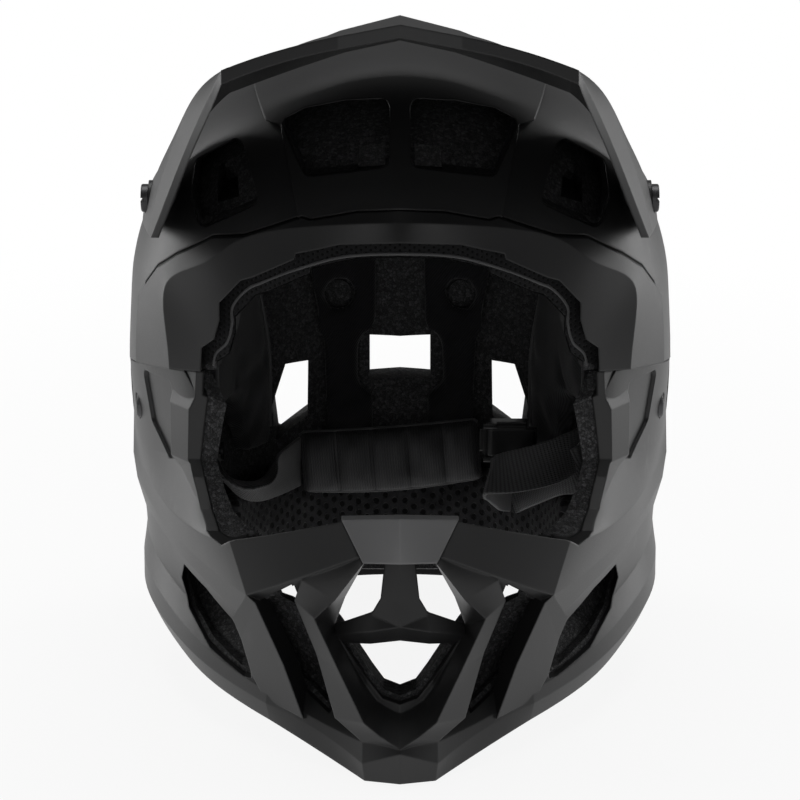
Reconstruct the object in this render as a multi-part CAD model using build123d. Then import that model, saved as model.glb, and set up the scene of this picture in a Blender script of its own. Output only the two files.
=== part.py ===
from build123d import *
import functools
import math
import os

# A full face bicycle helmet with a tilting visor and a chin guard that pulls off.
# Millimetres. +Z is up, -Y is the wearer's forward, and +X is to the right as one looks
# at the face of the helmet. It stands on Z = 0 on its chin and on the back of its rim.

# Driving sizes of the helmet
shell_half_width = 111.0
shell_front = 130.0  # from the head centre forward to the dome
shell_rear = 130.0  # from the head centre back to the dome
shell_height = 257.0
head_height = 138.0  # the widest level of the dome above the ground
shell_wall = 3.0
chin_half_width = 107.5
chin_reach = 182.0  # from the head centre to the tip of the chin guard
chin_height = 98.0
visor_reach = 207.0  # from the head centre to the lip of the visor

# Running gaps and overruns
seam_gap = 0.35
overrun = 60.0  # how far every cutting tool runs past what it cuts

# The head centre lies so far behind the origin that the helmet is centred on it.
head_y = (visor_reach - shell_rear) / 2


def place(x, reach, z):
    """A point from its sideways place, its reach forward of the head centre and its height."""
    return Vector(x, head_y - reach, z)


# The dome, as level sections

SQUARENESS = 2.1  # the exponent of each level section; 2 is an ellipse
RING_POINTS = 20
# height, half width, front and rear, as shares of the driving sizes
DOME_SHARES = [
    (-0.03, 0.83, 0.86, 0.84),
    (0.08, 0.90, 0.90, 0.90),
    (0.16, 0.925, 0.94, 0.93),
    (0.24, 0.95, 0.97, 0.96),
    (0.32, 0.975, 0.99, 0.985),
    (0.42, 1.0, 1.0, 1.0),
    (0.54, 1.0, 1.0, 1.0),
    (0.64, 0.985, 0.985, 0.98),
    (0.73, 0.93, 0.945, 0.935),
    (0.81, 0.84, 0.87, 0.86),
    (0.88, 0.71, 0.745, 0.74),
    (0.935, 0.54, 0.58, 0.575),
    (0.97, 0.37, 0.40, 0.40),
    (0.99, 0.21, 0.23, 0.23),
    (1.0, 0.09, 0.10, 0.10),
]


def signed_power(value, power):
    """The power of the size of a value, with its sign kept."""
    return math.copysign(abs(value) ** power, value)


def dome_level(row, inset):
    """One level of the dome: its height, half width, front and rear, drawn in by inset."""
    z_share, width_share, front_share, rear_share = row
    z = z_share * shell_height
    if z > head_height:
        above = shell_height - head_height
        z = head_height + (z - head_height) * (above - inset) / above
    return (
        z,
        width_share * (shell_half_width - inset),
        front_share * (shell_front - inset),
        rear_share * (shell_rear - inset),
    )


def dome_ring(level):
    """The closed curve of one level."""
    z, half_width, front, rear = level
    points = []
    for i in range(RING_POINTS):
        angle = 2 * math.pi * i / RING_POINTS
        side = signed_power(math.cos(angle), 2 / SQUARENESS)
        depth = signed_power(math.sin(angle), 2 / SQUARENESS)
        points.append(place(half_width * side, depth * (front if depth > 0 else rear), z))
    return Wire([Edge.make_spline(points, periodic=True)])


@functools.cache
def dome(inset):
    """The whole dome as one solid, drawn in by inset from the outside of the shell."""
    return Solid.make_loft([dome_ring(dome_level(row, inset)) for row in DOME_SHARES])


def level_at(z):
    """Half width, front and rear of the dome's outside at a height, smoothly between rows."""
    share = z / shell_height
    rows = DOME_SHARES
    i = max(1, min(len(rows) - 3, sum(1 for row in rows if row[0] <= share) - 1))
    before, low, high, after = rows[i - 1], rows[i], rows[i + 1], rows[i + 2]
    span = high[0] - low[0]
    t = (share - low[0]) / span
    found = []
    for k in (1, 2, 3):
        slope_low = (high[k] - before[k]) / (high[0] - before[0]) * span
        slope_high = (after[k] - low[k]) / (after[0] - low[0]) * span
        found.append(
            low[k] * (2 * t**3 - 3 * t**2 + 1)
            + slope_low * (t**3 - 2 * t**2 + t)
            + high[k] * (3 * t**2 - 2 * t**3)
            + slope_high * (t**3 - t**2)
        )
    return found[0] * shell_half_width, found[1] * shell_front, found[2] * shell_rear


def dome_excess(x, reach, z):
    """Below 0 inside the dome, 0 on it."""
    width, front, rear = level_at(z)
    depth = front if reach > 0 else rear
    return (abs(x) / width) ** SQUARENESS + (abs(reach) / depth) ** SQUARENESS - 1


def dome_normal(x, reach, z):
    """The outward normal of the dome, in sideways, forward and upward parts."""
    step = shell_height / 1000
    slope = [
        dome_excess(x + step, reach, z) - dome_excess(x - step, reach, z),
        dome_excess(x, reach + step, z) - dome_excess(x, reach - step, z),
        dome_excess(x, reach, z + step) - dome_excess(x, reach, z - step),
    ]
    size = math.sqrt(sum(s * s for s in slope))
    return [s / size for s in slope]


def on_front(x, z, lift):
    """A point on the front of the dome, given sideways place and height, lifted off it."""
    width, front, _ = level_at(z)
    reach = front * max(0.0, 1 - (abs(x) / width) ** SQUARENESS) ** (1 / SQUARENESS)
    n = dome_normal(x, reach, z)
    return place(x + lift * n[0], reach + lift * n[1], z + lift * n[2])


def on_side(reach, z, lift):
    """A point on the +X side of the dome, given reach and height, lifted off it."""
    width, front, rear = level_at(z)
    depth = front if reach > 0 else rear
    x = width * max(0.0, 1 - (abs(reach) / depth) ** SQUARENESS) ** (1 / SQUARENESS)
    n = dome_normal(x, reach, z)
    return place(x + lift * n[0], reach + lift * n[1], z + lift * n[2])


# Cutting tools


def mirrored(solid):
    """The same solid on the other side of the middle plane."""
    return mirror(solid, about=Plane.YZ)


def both_sides(solid):
    """A solid and its mirror image, joined where they meet."""
    return solid + mirrored(solid)


def largest(shape):
    """The largest solid of a shape, without the slivers a cut may leave."""
    return max(shape.solids(), key=lambda solid: solid.volume)


def front_prism(points, reach_low, reach_high, corner=0.0):
    """A prism along Y whose outline is seen from the front, given as (x, z)."""
    outline = Wire.make_polygon([place(x, reach_low, z) for x, z in points], close=True)
    face = Face(outline)
    if corner:
        face = face.fillet_2d(corner, face.vertices())
    return Solid.extrude(face, Vector(0, reach_low - reach_high, 0))


def side_prism(points, x_low, x_high, corner=0.0):
    """A prism along X whose outline is seen from the side, given as (reach, z)."""
    outline = Wire.make_polygon([place(x_low, r, z) for r, z in points], close=True)
    face = Face(outline)
    if corner:
        face = face.fillet_2d(corner, face.vertices())
    return Solid.extrude(face, Vector(x_high - x_low, 0, 0))


def top_prism(points, z_low, z_high, corner=0.0):
    """A prism along Z whose outline is seen from above, given as (x, reach)."""
    outline = Wire.make_polygon([place(x, r, z_low) for x, r in points], close=True)
    face = Face(outline)
    if corner:
        face = face.fillet_2d(corner, face.vertices())
    return Solid.extrude(face, Vector(0, 0, z_high - z_low))


def fan(points):
    """Triangles that close a polygon whose corners need not lie in one plane."""
    first = points[0]
    return [
        Face(Wire.make_polygon([first, points[i], points[i + 1]], close=True))
        for i in range(1, len(points) - 1)
    ]


def strut(sections):
    """A solid through closed polygons that all have as many corners, straight between them."""
    count = len(sections[0])
    faces = fan(sections[0]) + fan(sections[-1])
    for before, after in zip(sections, sections[1:]):
        for i in range(count):
            low = Edge.make_line(before[i], before[(i + 1) % count])
            high = Edge.make_line(after[i], after[(i + 1) % count])
            faces.append(Face.make_surface_from_curves(low, high))
    solid = Solid(Shell(faces))
    return solid if solid.volume > 0 else Solid(solid.wrapped.Reversed())


def segment_faces(sections):
    """The side faces through closed polygons, smooth along their length."""
    places = [sum(points, Vector(0, 0, 0)) / len(points) for points in sections]
    along = [0.0]
    for before, after in zip(places, places[1:]):
        along.append(along[-1] + (after - before).length)
    shares = [a / along[-1] for a in along]
    count = len(sections[0])
    lines = []
    for i in range(count):
        points = [section[i] for section in sections]
        lines.append(Edge.make_spline(points, parameters=shares))
    return [
        Face.make_surface_from_curves(lines[i], lines[(i + 1) % count]) for i in range(count)
    ]


def swept(sections, kinks=()):
    """A solid through closed polygons: creased at their corners, smooth from kink to kink."""
    stops = [0] + list(kinks) + [len(sections) - 1]
    faces = []
    for first, last in zip(stops, stops[1:]):
        faces = faces + segment_faces(sections[first : last + 1])
    for points in (sections[0], sections[-1]):
        faces.append(Face(Wire.make_polygon(points, close=True)))
    return Solid(Shell(faces))


def flipped(points):
    """The mirror image of a list of points."""
    return [Vector(-p.X, p.Y, p.Z) for p in points]


def swept_across(half, kinks=()):
    """A sweep from one side to the other, given its sections from the middle to +X."""
    whole = [flipped(points) for points in reversed(half[1:])] + half
    middle = len(half) - 1
    both = sorted({middle - k for k in kinks} | {middle + k for k in kinks})
    return swept(whole, both)


def across(points, width, height):
    """Outline shares turned into millimetres."""
    return [(a * width, b * height) for a, b in points]


def as_drawn(half):
    """A whole outline from its +X half, listed from the top middle down to the bottom middle."""
    return half + [(-x, z) for x, z in reversed(half) if x > 0]


# The brow frame's upper edge, which is also the front edge of the shell, as shares of the
# shell's half width and height.
brow_top_shares = [
    (0.0, 0.787),
    (0.15, 0.784),
    (0.30, 0.771),
    (0.33, 0.774),
    (0.53, 0.741),
    (0.64, 0.733),
    (0.77, 0.699),
    (0.85, 0.672),
    (0.91, 0.634),
    (1.08, 0.51),
]
brow_rear = 54.0  # how far in front of the head centre the brow frame ends at the sides
split_front_z = 137.0  # the joint line of the chin guard, at the eye port
split_rear_z = 125.0  # the joint line of the chin guard, at its back end
split_rear = 5.0  # reach of the chin guard's back end
eye_side = 99.0  # reach of the eye port's side edge

# The eye port's upper edge, which steps down to the sides
eye_top_shares = [
    (0.0, 0.741),
    (0.20, 0.738),
    (0.35, 0.722),
    (0.355, 0.714),
    (0.50, 0.683),
    (0.54, 0.677),
    (0.615, 0.641),
    (0.615, 0.616),
    (0.635, 0.586),
    (0.68, 0.570),
    (0.69, 0.50),
]


def split_z(reach):
    """Height of the joint between shell and chin guard at a reach."""
    t = (reach - split_rear) / (eye_side - split_rear)
    return split_rear_z + (split_front_z - split_rear_z) * t


far = shell_half_width + overrun  # outside everything, sideways


def below_brow(gap):
    """All that lies below the brow line, in front of the brow frame's rear edge."""
    half = across(brow_top_shares, shell_half_width, shell_height)
    half = [(x, z + gap) for x, z in half]
    half = half + [(half[-1][0], -overrun), (0.0, -overrun)]
    return front_prism(as_drawn(half), brow_rear - gap, chin_reach + overrun)


# The shell's lower edge from the chin guard back to the neck, as shares of the rear reach
# and of the shell's height
rim_shares = [(0.04, 0.156), (-0.25, 0.105), (-0.50, 0.052), (-0.72, 0.0125), (-1.2, 0.0115)]


def below_rim(rise):
    """All that lies below the rim line of the shell, raised by rise."""
    line = [(r * shell_rear, z * shell_height + rise) for r, z in rim_shares]
    line = [(chin_reach + overrun, line[0][1])] + line
    return side_prism(line + [(line[-1][0], -overrun), (line[0][0], -overrun)], -far, far)


def chin_zone(gap):
    """The room that the chin guard takes out of the shell."""
    front = chin_reach + overrun
    outline = [
        (split_rear - gap, split_z(split_rear) + gap),
        (front, split_z(front) + gap),
        (front, -overrun),
        (split_rear - gap, -overrun),
    ]
    return side_prism(outline, -far, far)


# Vents of the dome, on the +X side, as shares of the shell's half width and height
brow_vent_shares = [
    (0.036, 0.844),
    (0.32, 0.827),
    (0.413, 0.897),
    (0.325, 0.916),
    (0.19, 0.928),
    (0.036, 0.932),
]
temple_vent_shares = [
    (0.478, 0.786),
    (0.69, 0.737),
    (0.73, 0.778),
    (0.72, 0.826),
    (0.57, 0.866),
    (0.54, 0.86),
]
# seen from above, as shares of half width and front reach
crown_vent_shares = [(0.25, 0.415), (0.49, 0.365), (0.51, -0.02), (0.31, -0.06)]
top_rear_vent_shares = [(0.14, -0.16), (0.40, -0.20), (0.36, -0.58), (0.16, -0.62)]
# seen from behind, as shares of half width and height
nape_vent_shares = [(0.11, 0.60), (0.33, 0.585), (0.37, 0.66), (0.30, 0.742), (0.11, 0.748)]
side_exhaust_shares = [(0.36, 0.30), (0.50, 0.265), (0.53, 0.33), (0.46, 0.41), (0.36, 0.41)]
middle_exhaust_shares = [(0.0, 0.355), (0.14, 0.355), (0.14, 0.445), (0.0, 0.445)]
vent_corner = 3.2


def front_vents():
    """The tools that cut the four vents above the brow."""
    tools = []
    for shares in (brow_vent_shares, temple_vent_shares):
        outline = across(shares, shell_half_width, shell_height)
        tools.append(front_prism(outline, 0, far, vent_corner))
    return tools + [mirrored(t) for t in tools]


def top_vents():
    """The tools that cut the four vents in the crown."""
    tools = []
    for shares in (crown_vent_shares, top_rear_vent_shares):
        outline = across(shares, shell_half_width, shell_front)
        tools.append(top_prism(outline, head_height, shell_height + overrun, vent_corner))
    return tools + [mirrored(t) for t in tools]


def rear_vents():
    """The tools that cut the five vents in the back."""
    tools = []
    for shares in (nape_vent_shares, side_exhaust_shares):
        outline = across(shares, shell_half_width, shell_height)
        tools.append(front_prism(outline, -far, 0, vent_corner))
    outline = across(list(reversed(middle_exhaust_shares)), shell_half_width, shell_height)
    return tools + [mirrored(t) for t in tools] + [front_prism(as_drawn(outline), -far, 0, vent_corner)]


# The raised middle of the forehead, as shares of half width and height
forehead_shares = [
    (0.0, 1.1),
    (0.52, 1.1),
    (0.52, 0.935),
    (0.465, 0.895),
    (0.41, 0.892),
    (0.345, 0.78),
    (0.33, 0.70),
    (0.0, 0.70),
]
forehead_lift = 2.2
forehead_end = -12.0  # reach where the raised middle ends, under the visor


def raised_forehead():
    """The raised middle of the forehead, sunk half into the shell's wall."""
    forehead = as_drawn(across(forehead_shares, shell_half_width, shell_height))
    region = front_prism(forehead, forehead_end, far).cut(below_brow(0), *front_vents())
    return (dome(-forehead_lift) - dome(shell_wall / 2)) & region


def make_shell():
    """The outer shell of the dome, with its vents and the raised forehead."""
    rooms = [chin_zone(0), below_brow(0), below_rim(0)]
    vents = front_vents() + top_vents() + rear_vents()
    bores = [pivot_bore(1), pivot_bore(-1)]
    shell = (dome(0) - dome(shell_wall)).cut(*rooms, *vents, *bores)
    return largest(shell + raised_forehead())


# The brow frame

brow_lift = 2.4  # how proud of the dome the frame stands
brow_crease_lift = 4.4
brow_depth = 9.0
foot_gap = 1.4  # how far below the joint line the frame's foot is drawn before it is trimmed


def flat_at(point, z):
    """A point moved to a height."""
    return Vector(point.X, point.Y, z)


def brow_section(outer, crease, inner):
    """Six corners of the frame: three on the outside and the same three further in."""
    front = [outer(brow_lift), crease(brow_crease_lift), inner(brow_lift)]
    back = [inner(-brow_depth), crease(-brow_depth), outer(-brow_depth)]
    return front + back


def front_spot(x_share, z_share):
    """A spot on the front of the dome, as a function of its lift."""
    return lambda lift: on_front(x_share * shell_half_width, z_share * shell_height, lift)


def side_spot(reach_share, z_share):
    """A spot on the side of the dome, as a function of its lift."""
    return lambda lift: on_side(reach_share * shell_front, z_share * shell_height, lift)


def foot_spot(reach_share):
    """A spot at the foot of the frame, below the joint line, as a function of its lift."""
    z = split_rear_z - foot_gap
    return lambda lift: flat_at(on_side(reach_share * shell_front, z, lift), z)


def middle_spot(z_share):
    """A spot on the middle line, as a function of its lift; the crease is not raised there."""
    z = z_share * shell_height
    return lambda lift: on_front(0.0, z, min(lift, brow_lift))


# the frame from its middle to its foot: outer edge, crease and inner edge of each section, with
# the way in which its spots are found
brow_spot_shares = [
    [(middle_spot, 0.80), (middle_spot, 0.765), (middle_spot, 0.72)],
    [(front_spot, 0.32, 0.79), (front_spot, 0.30, 0.755), (front_spot, 0.27, 0.71)],
    [(front_spot, 0.55, 0.76), (front_spot, 0.53, 0.728), (front_spot, 0.42, 0.67)],
    [(front_spot, 0.72, 0.73), (front_spot, 0.65, 0.69), (front_spot, 0.53, 0.63)],
    [(side_spot, 0.48, 0.695), (side_spot, 0.62, 0.65), (front_spot, 0.60, 0.58)],
    [(side_spot, 0.385, 0.62), (side_spot, 0.64, 0.59), (side_spot, 0.80, 0.55)],
    [(foot_spot, 0.37), (foot_spot, 0.645), (foot_spot, 0.81)],
]


def brow_half():
    """The +X half of the frame before its edges are trimmed."""
    sections = []
    for row in brow_spot_shares:
        spots = [spot(*shares) for spot, *shares in row]
        sections.append(brow_section(*spots))
    return swept(sections)


def eye_port(grow):
    """The opening in front of the face, as far as the brow frame bounds it."""
    outline = across(eye_top_shares, shell_half_width, shell_height)
    half = [(x + grow if x > 0 else 0.0, z + grow) for x, z in outline]
    half = half + [(half[-1][0], -overrun), (0.0, -overrun)]
    return front_prism(as_drawn(half), 0, far + overrun)


def make_brow():
    """The frame round the upper half of the eye port."""
    brow = both_sides(brow_half()) & below_brow(-seam_gap)
    return brow - dome(shell_wall) - eye_port(0) - chin_zone(0)


# The chin guard. Each section lists its corners as shares of the guard's half width, reach
# and height: the inner top edge, the edge of the eye port, the belt's top, its lower edge,
# the lip under it, the recess, the edge of the foot, its crease and the bottom.

chin_wall = 4.0
chin_section_shares = [
    [
        (0, 0.912, 0.918), (0, 0.945, 0.974), (0, 0.978, 1.007),
        (0, 0.997, 0.857), (0, 0.956, 0.786), (0, 0.945, 0.245),
        (0, 1.019, 0.158), (0, 1.027, 0.133), (0, 1, 0),
    ],
    [
        (0.149, 0.885, 0.903), (0.167, 0.918, 0.959), (0.182, 0.951, 0.988),
        (0.145, 0.975, 0.86), (0.121, 0.934, 0.776), (0.112, 0.923, 0.245),
        (0.128, 0.981, 0.153), (0.128, 0.989, 0.074), (0.121, 0.978, 0),
    ],
    [
        (0.335, 0.802, 0.827), (0.363, 0.835, 0.883), (0.391, 0.874, 0.908),
        (0.344, 0.912, 0.75), (0.326, 0.879, 0.684), (0.27, 0.835, 0.265),
        (0.279, 0.885, 0.179), (0.288, 0.885, 0.143), (0.279, 0.896, 0.066),
    ],
    [
        (0.521, 0.72, 0.765), (0.563, 0.758, 0.827), (0.591, 0.786, 0.834),
        (0.53, 0.835, 0.645), (0.558, 0.775, 0.531), (0.465, 0.731, 0.316),
        (0.465, 0.786, 0.24), (0.47, 0.786, 0.189), (0.456, 0.786, 0.122),
    ],
    [
        (0.66, 0.593, 1.163), (0.712, 0.61, 0.893), (0.735, 0.621, 0.801),
        (0.688, 0.648, 0.668), (0.702, 0.618, 0.6), (0.651, 0.582, 0.378),
        (0.679, 0.615, 0.301), (0.688, 0.615, 0.24), (0.679, 0.604, 0.173),
    ],
    [
        (0.828, 0.445, 1.449), (0.805, 0.456, 0.995), (0.851, 0.434, 0.806),
        (0.823, 0.451, 0.694), (0.823, 0.434, 0.633), (0.791, 0.429, 0.439),
        (0.814, 0.456, 0.357), (0.819, 0.467, 0.286), (0.8, 0.462, 0.224),
    ],
    [
        (0.981, 0.264, 1.449), (0.94, 0.247, 0.969), (0.935, 0.236, 0.816),
        (0.924, 0.253, 0.714), (0.924, 0.236, 0.659), (0.916, 0.242, 0.51),
        (0.94, 0.247, 0.418), (0.944, 0.253, 0.337), (0.93, 0.247, 0.301),
    ],
    [
        (1.033, 0.027, 1.449), (1.026, 0.027, 1.071), (1.033, 0.027, 0.857),
        (1.019, 0.027, 0.745), (0.986, 0.027, 0.622), (0.981, 0.027, 0.571),
        (0.991, 0.027, 0.48), (0.986, 0.027, 0.398), (0.967, 0.027, 0.357),
    ],
]
chin_kinks = (0, 1, 3)  # the sections where the plan turns a corner
CHIN_TOP = 2  # how many corners of the front sections lie on the top rather than the outside
inward_shares = [(0, 1), (0.1, 1), (0.4, 0.9), (0.7, 0.7), (0.85, 0.5), (0.95, 0.3), (1, 0.1), (1, 0)]


def chin_corners(k):
    """The outer corners of a section in millimetres: sideways, reach and height."""
    return [
        (x * chin_half_width, reach * chin_reach, z * chin_height)
        for x, reach, z in chin_section_shares[k]
    ]


def moved_in(corner, k, amount):
    """A corner moved level towards the inside of the bar."""
    side, forward = inward_shares[k]
    return (corner[0] - amount * side, corner[1] - amount * forward, corner[2])


lip_drop_share = 1.4  # how much lower than its wall the belt's edge lies on the inside


def chin_inner(k, wall):
    """The corners of a surface that lies so far inside the outer one, in the same order."""
    corners = chin_corners(k)
    drop = wall if k <= chin_kinks[-1] else 0.0
    inner = []
    for i, corner in enumerate(corners):
        if drop and i < CHIN_TOP:
            inner.append((corner[0], corner[1], corner[2] - drop))
        elif drop and i == CHIN_TOP:
            x, reach, z = moved_in(corner, k, wall)
            inner.append((x, reach, z - lip_drop_share * drop))
        else:
            inner.append(moved_in(corner, k, wall))
    return inner


def chin_layer(outer_depth, inner_depth):
    """The part of the bar between two depths below its outer surface."""
    half = []
    for k in range(len(chin_section_shares)):
        outer = chin_corners(k) if outer_depth == 0 else chin_inner(k, outer_depth)
        corners = outer + list(reversed(chin_inner(k, inner_depth)))
        half.append([place(*corner) for corner in corners])
    return swept_across(half, chin_kinks)


# windows of the chin guard on the +X side, in shares of its half width and height
side_vent_shares = [
    (0.784, 0.589),
    (0.693, 0.556),
    (0.592, 0.477),
    (0.559, 0.401),
    (0.522, 0.262),
    (0.549, 0.26),
    (0.68, 0.31),
    (0.77, 0.401),
    (0.8, 0.51),
]
slot_vent_shares = [
    (0.492, 0.615),
    (0.363, 0.72),
    (0.344, 0.635),
    (0.316, 0.561),
    (0.26, 0.429),
    (0.205, 0.257),
    (0.244, 0.207),
    (0.348, 0.269),
    (0.354, 0.314),
]
mouth_shares = [
    (0, 0.842),
    (0.116, 0.842),
    (0.27, 0.597),
    (0.224, 0.538),
    (0.149, 0.416),
    (0.06, 0.296),
    (0, 0.278),
]
# the top of the chin guard as the eye port's lower edge, in shares of its reach and height
eye_floor_shares = [
    (0.533, 1.04),
    (0.56, 0.98),
    (0.62, 0.88),
    (0.68, 0.82),
    (0.755, 0.80),
    (0.79, 0.835),
    (0.83, 0.885),
    (0.88, 0.96),
    (0.96, 1.03),
    (1.4, 1.03),
]


def grown(points, amount):
    """An outline whose corners are moved away from its middle."""
    x_mid = sum(x for x, _ in points) / len(points)
    z_mid = sum(z for _, z in points) / len(points)
    moved = []
    for x, z in points:
        size = math.hypot(x - x_mid, z - z_mid)
        moved.append((x + amount * (x - x_mid) / size, z + amount * (z - z_mid) / size))
    return moved


def chin_vents(grow, outlines=(side_vent_shares, slot_vent_shares)):
    """The tools that cut the vents of the chin guard on both sides."""
    tools = []
    for shares in outlines:
        outline = grown(across(shares, chin_half_width, chin_height), grow)
        tool = front_prism(outline, 0, far + overrun)
        tools = tools + [tool, mirrored(tool)]
    return tools


def mouth_window(grow):
    """The tool that cuts the mouth opening of the chin guard."""
    mouth = as_drawn(across(mouth_shares, chin_half_width, chin_height))
    return front_prism(grown(mouth, grow), 0, far + overrun)


post_front = 97.0  # reach of the front edge of the post beside the eye port


def above_chin():
    """The room above the chin guard's top edge, in front of its posts."""
    floor = across(eye_floor_shares, chin_reach, chin_height)
    top = shell_height + overrun
    outline = [(post_front, top), (post_front, floor[0][1])] + floor[1:] + [(floor[-1][0], top)]
    return side_prism(outline, -far, far)


def placed(rows):
    """Corners on the chin guard from their shares of its half width, reach and height."""
    return [place(x * chin_half_width, r * chin_reach, z * chin_height) for x, r, z in rows]


# the raised frame round the mouth: outer edge, ridge, inner wall edge and back
frame_shares = [
    [(0.145, 0.967, 0.86), (0.12, 0.995, 0.85), (0.112, 0.934, 0.837), (0.149, 0.912, 0.857)],
    [(0.334, 0.912, 0.742), (0.22, 0.956, 0.687), (0.186, 0.901, 0.673), (0.316, 0.852, 0.735)],
    [(0.361, 0.89, 0.652), (0.29, 0.934, 0.604), (0.224, 0.879, 0.551), (0.344, 0.835, 0.633)],
    [(0.286, 0.912, 0.457), (0.208, 0.967, 0.424), (0.158, 0.885, 0.434), (0.27, 0.852, 0.459)],
    [(0.223, 0.934, 0.219), (0.122, 1.0, 0.238), (0.065, 0.907, 0.301), (0.186, 0.874, 0.224)],
    [(0.128, 0.981, 0.153), (0.065, 1.014, 0.194), (0.033, 0.909, 0.286), (0.112, 0.879, 0.173)],
    [(0.0, 1.011, 0.138), (0.0, 1.027, 0.153), (0.0, 0.912, 0.278), (0.0, 0.868, 0.163)],
]
# the rib from the belt's corner down to the foot: its two edges
rib_shares = [
    [(0.528, 0.835, 0.645), (0.587, 0.758, 0.517)],
    [(0.498, 0.849, 0.622), (0.556, 0.758, 0.43)],
    [(0.402, 0.857, 0.383), (0.519, 0.755, 0.28)],
    [(0.334, 0.863, 0.172), (0.473, 0.78, 0.204)],
]
rib_depth = 9.0


def rib_half():
    """The +X rib beside the slot vent."""
    back = Vector(-rib_depth / 2, rib_depth, 0)
    sections = []
    for row in rib_shares:
        edges = placed(row)
        sections.append(edges + [edges[1] + back, edges[0] + back])
    return strut(sections)


mouthpiece_shares = [
    # outline of one half, as shares of half width, reach and height
    (0.0, 0.984, 1.012),
    (0.197, 0.957, 0.995),
    (0.124, 1.0, 0.85),
    (0.0, 1.008, 0.85),
]
mouthpiece_depth = 6.0


def mouthpiece_half(grow):
    """The +X half of the plate under the lip, enlarged by grow on its free edges."""
    top_mid, top_side, low_side, low_mid = placed(mouthpiece_shares)
    top_side = top_side + Vector(grow, 0, 0)
    low_side = low_side + Vector(grow, 0, -grow)
    low_mid = low_mid + Vector(0, 0, -grow)
    back = Vector(0, mouthpiece_depth + grow, 0)
    sections = []
    for top, low in ((top_mid, low_mid), (top_side, low_side)):
        sections.append([top, low, low + back, top + back])
    return strut(sections)


def make_mouthpiece():
    """The creased plate at the top middle of the chin guard."""
    return both_sides(mouthpiece_half(0))


# the dark recess in each side panel, as shares of shell front and height
panel_shares = [(0.40, 0.50), (0.615, 0.503), (0.63, 0.385), (0.55, 0.375), (0.42, 0.42)]
panel_depth = 1.4


def panel_pocket():
    """The shallow recess of both side panels."""
    outline = across(panel_shares, shell_front, shell_height)
    return side_prism(outline, -far, far, vent_corner) & chin_layer(-panel_depth, panel_depth)


# the raised strip on the post beside the eye port: its inner and outer edges from the top down
post_shares = [
    [(0.715, 0.54, 1.47), (0.818, 0.442, 1.47)],
    [(0.722, 0.542, 1.29), (0.822, 0.446, 1.29)],
    [(0.745, 0.543, 1.24), (0.832, 0.451, 1.24)],
    [(0.748, 0.545, 1.03), (0.83, 0.462, 1.03)],
    [(0.735, 0.53, 0.98), (0.79, 0.48, 0.99)],
]
post_depth = 2.2


def post_half():
    """The +X strip on a post."""
    back = Vector(-post_depth, post_depth, 0)
    sections = []
    for row in post_shares:
        inner, outer = placed(row)
        sections.append([inner, outer, outer + back, inner + back])
    return strut(sections)


def make_chin_guard():
    """The hard outer bar of the chin guard, with its ribs and windows."""
    bar = chin_layer(0, chin_wall)
    for tool in chin_vents(0) + [mouth_window(0)]:
        bar = bar - tool
    bar = bar + frame_solid()
    bar = bar + both_sides(rib_half()) + both_sides(post_half()) - panel_pocket()
    bar = bar & chin_zone(-seam_gap)
    bar = bar - above_chin() - both_sides(mouthpiece_half(seam_gap))
    for side in (1, -1):
        bar = bar - button_room(side)
    return largest(bar - ground_block())


# The visor, as fans from its lip back to its rear edge; shares of half width, visor reach
# and shell height. The ridge in its middle ends at the second fan and its side folds down at
# the fourth.


def fold_share(reach_share):
    """How far out the fold of the visor lies at a reach; the fold is straight in plan."""
    front_share, rear_share = 0.55, 0.61
    return front_share + (rear_share - front_share) * (1 - reach_share)


visor_fan_shares = [
    [(0.0, 0.990, 1.082), (0.0, 0.775, 1.080), (0.0, 0.53, 1.060), (0.0, 0.30, 1.022)],
    [(0.19, 0.981, 1.066), (0.19, 0.790, 1.060), (0.19, 0.54, 1.043), (0.19, 0.31, 1.005)],
    [(0.36, 0.955, 1.047), (0.37, 0.775, 1.030), (0.37, 0.54, 1.016), (0.37, 0.32, 0.98)],
    [
        (fold_share(0.918), 0.918, 1.016),
        (fold_share(0.725), 0.725, 1.002),
        (fold_share(0.49), 0.49, 0.985),
        (fold_share(0.305), 0.305, 0.945),
    ],
    [(0.625, 0.785, 0.955), (0.675, 0.62, 0.955), (0.69, 0.43, 0.945), (0.68, 0.27, 0.91)],
    [(0.72, 0.60, 0.868), (0.765, 0.485, 0.875), (0.785, 0.365, 0.87), (0.79, 0.225, 0.845)],
    [(0.79, 0.50, 0.797), (0.832, 0.41, 0.80), (0.862, 0.30, 0.80), (0.882, 0.19, 0.79)],
    [(0.86, 0.41, 0.725), (0.882, 0.35, 0.725), (0.902, 0.28, 0.725), (0.92, 0.215, 0.725)],
]
# how the underside lies from the top side, sideways and downwards, as shares of the wall
visor_drop_shares = [(0, 1), (0, 1), (0, 1), (0, 1.1), (-0.7, 0.7), (-0.9, 0.3), (-1, 0.1), (-1, 0)]
visor_kinks = (0, 1, 3)
visor_wall = 3.0
lip_wall = 4.6
LIP_FANS = 4  # the fans that end in the thick lip


def visor_section(k):
    """The closed outline of one fan of the visor."""
    top, under = [], []
    side, down = visor_drop_shares[k]
    for i, (x, reach, z) in enumerate(visor_fan_shares[k]):
        point = place(x * shell_half_width, reach * visor_reach, z * shell_height)
        wall = lip_wall if i == 0 and k < LIP_FANS else visor_wall
        top.append(point)
        under.append(point + Vector(side * wall, 0, -down * wall))
    return top + list(reversed(under))


def make_visor():
    """The peak over the face."""
    return swept_across([visor_section(k) for k in range(len(visor_fan_shares))], visor_kinks)


# The star in the mouth opening: its arms as edge, ridge, edge and back

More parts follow.
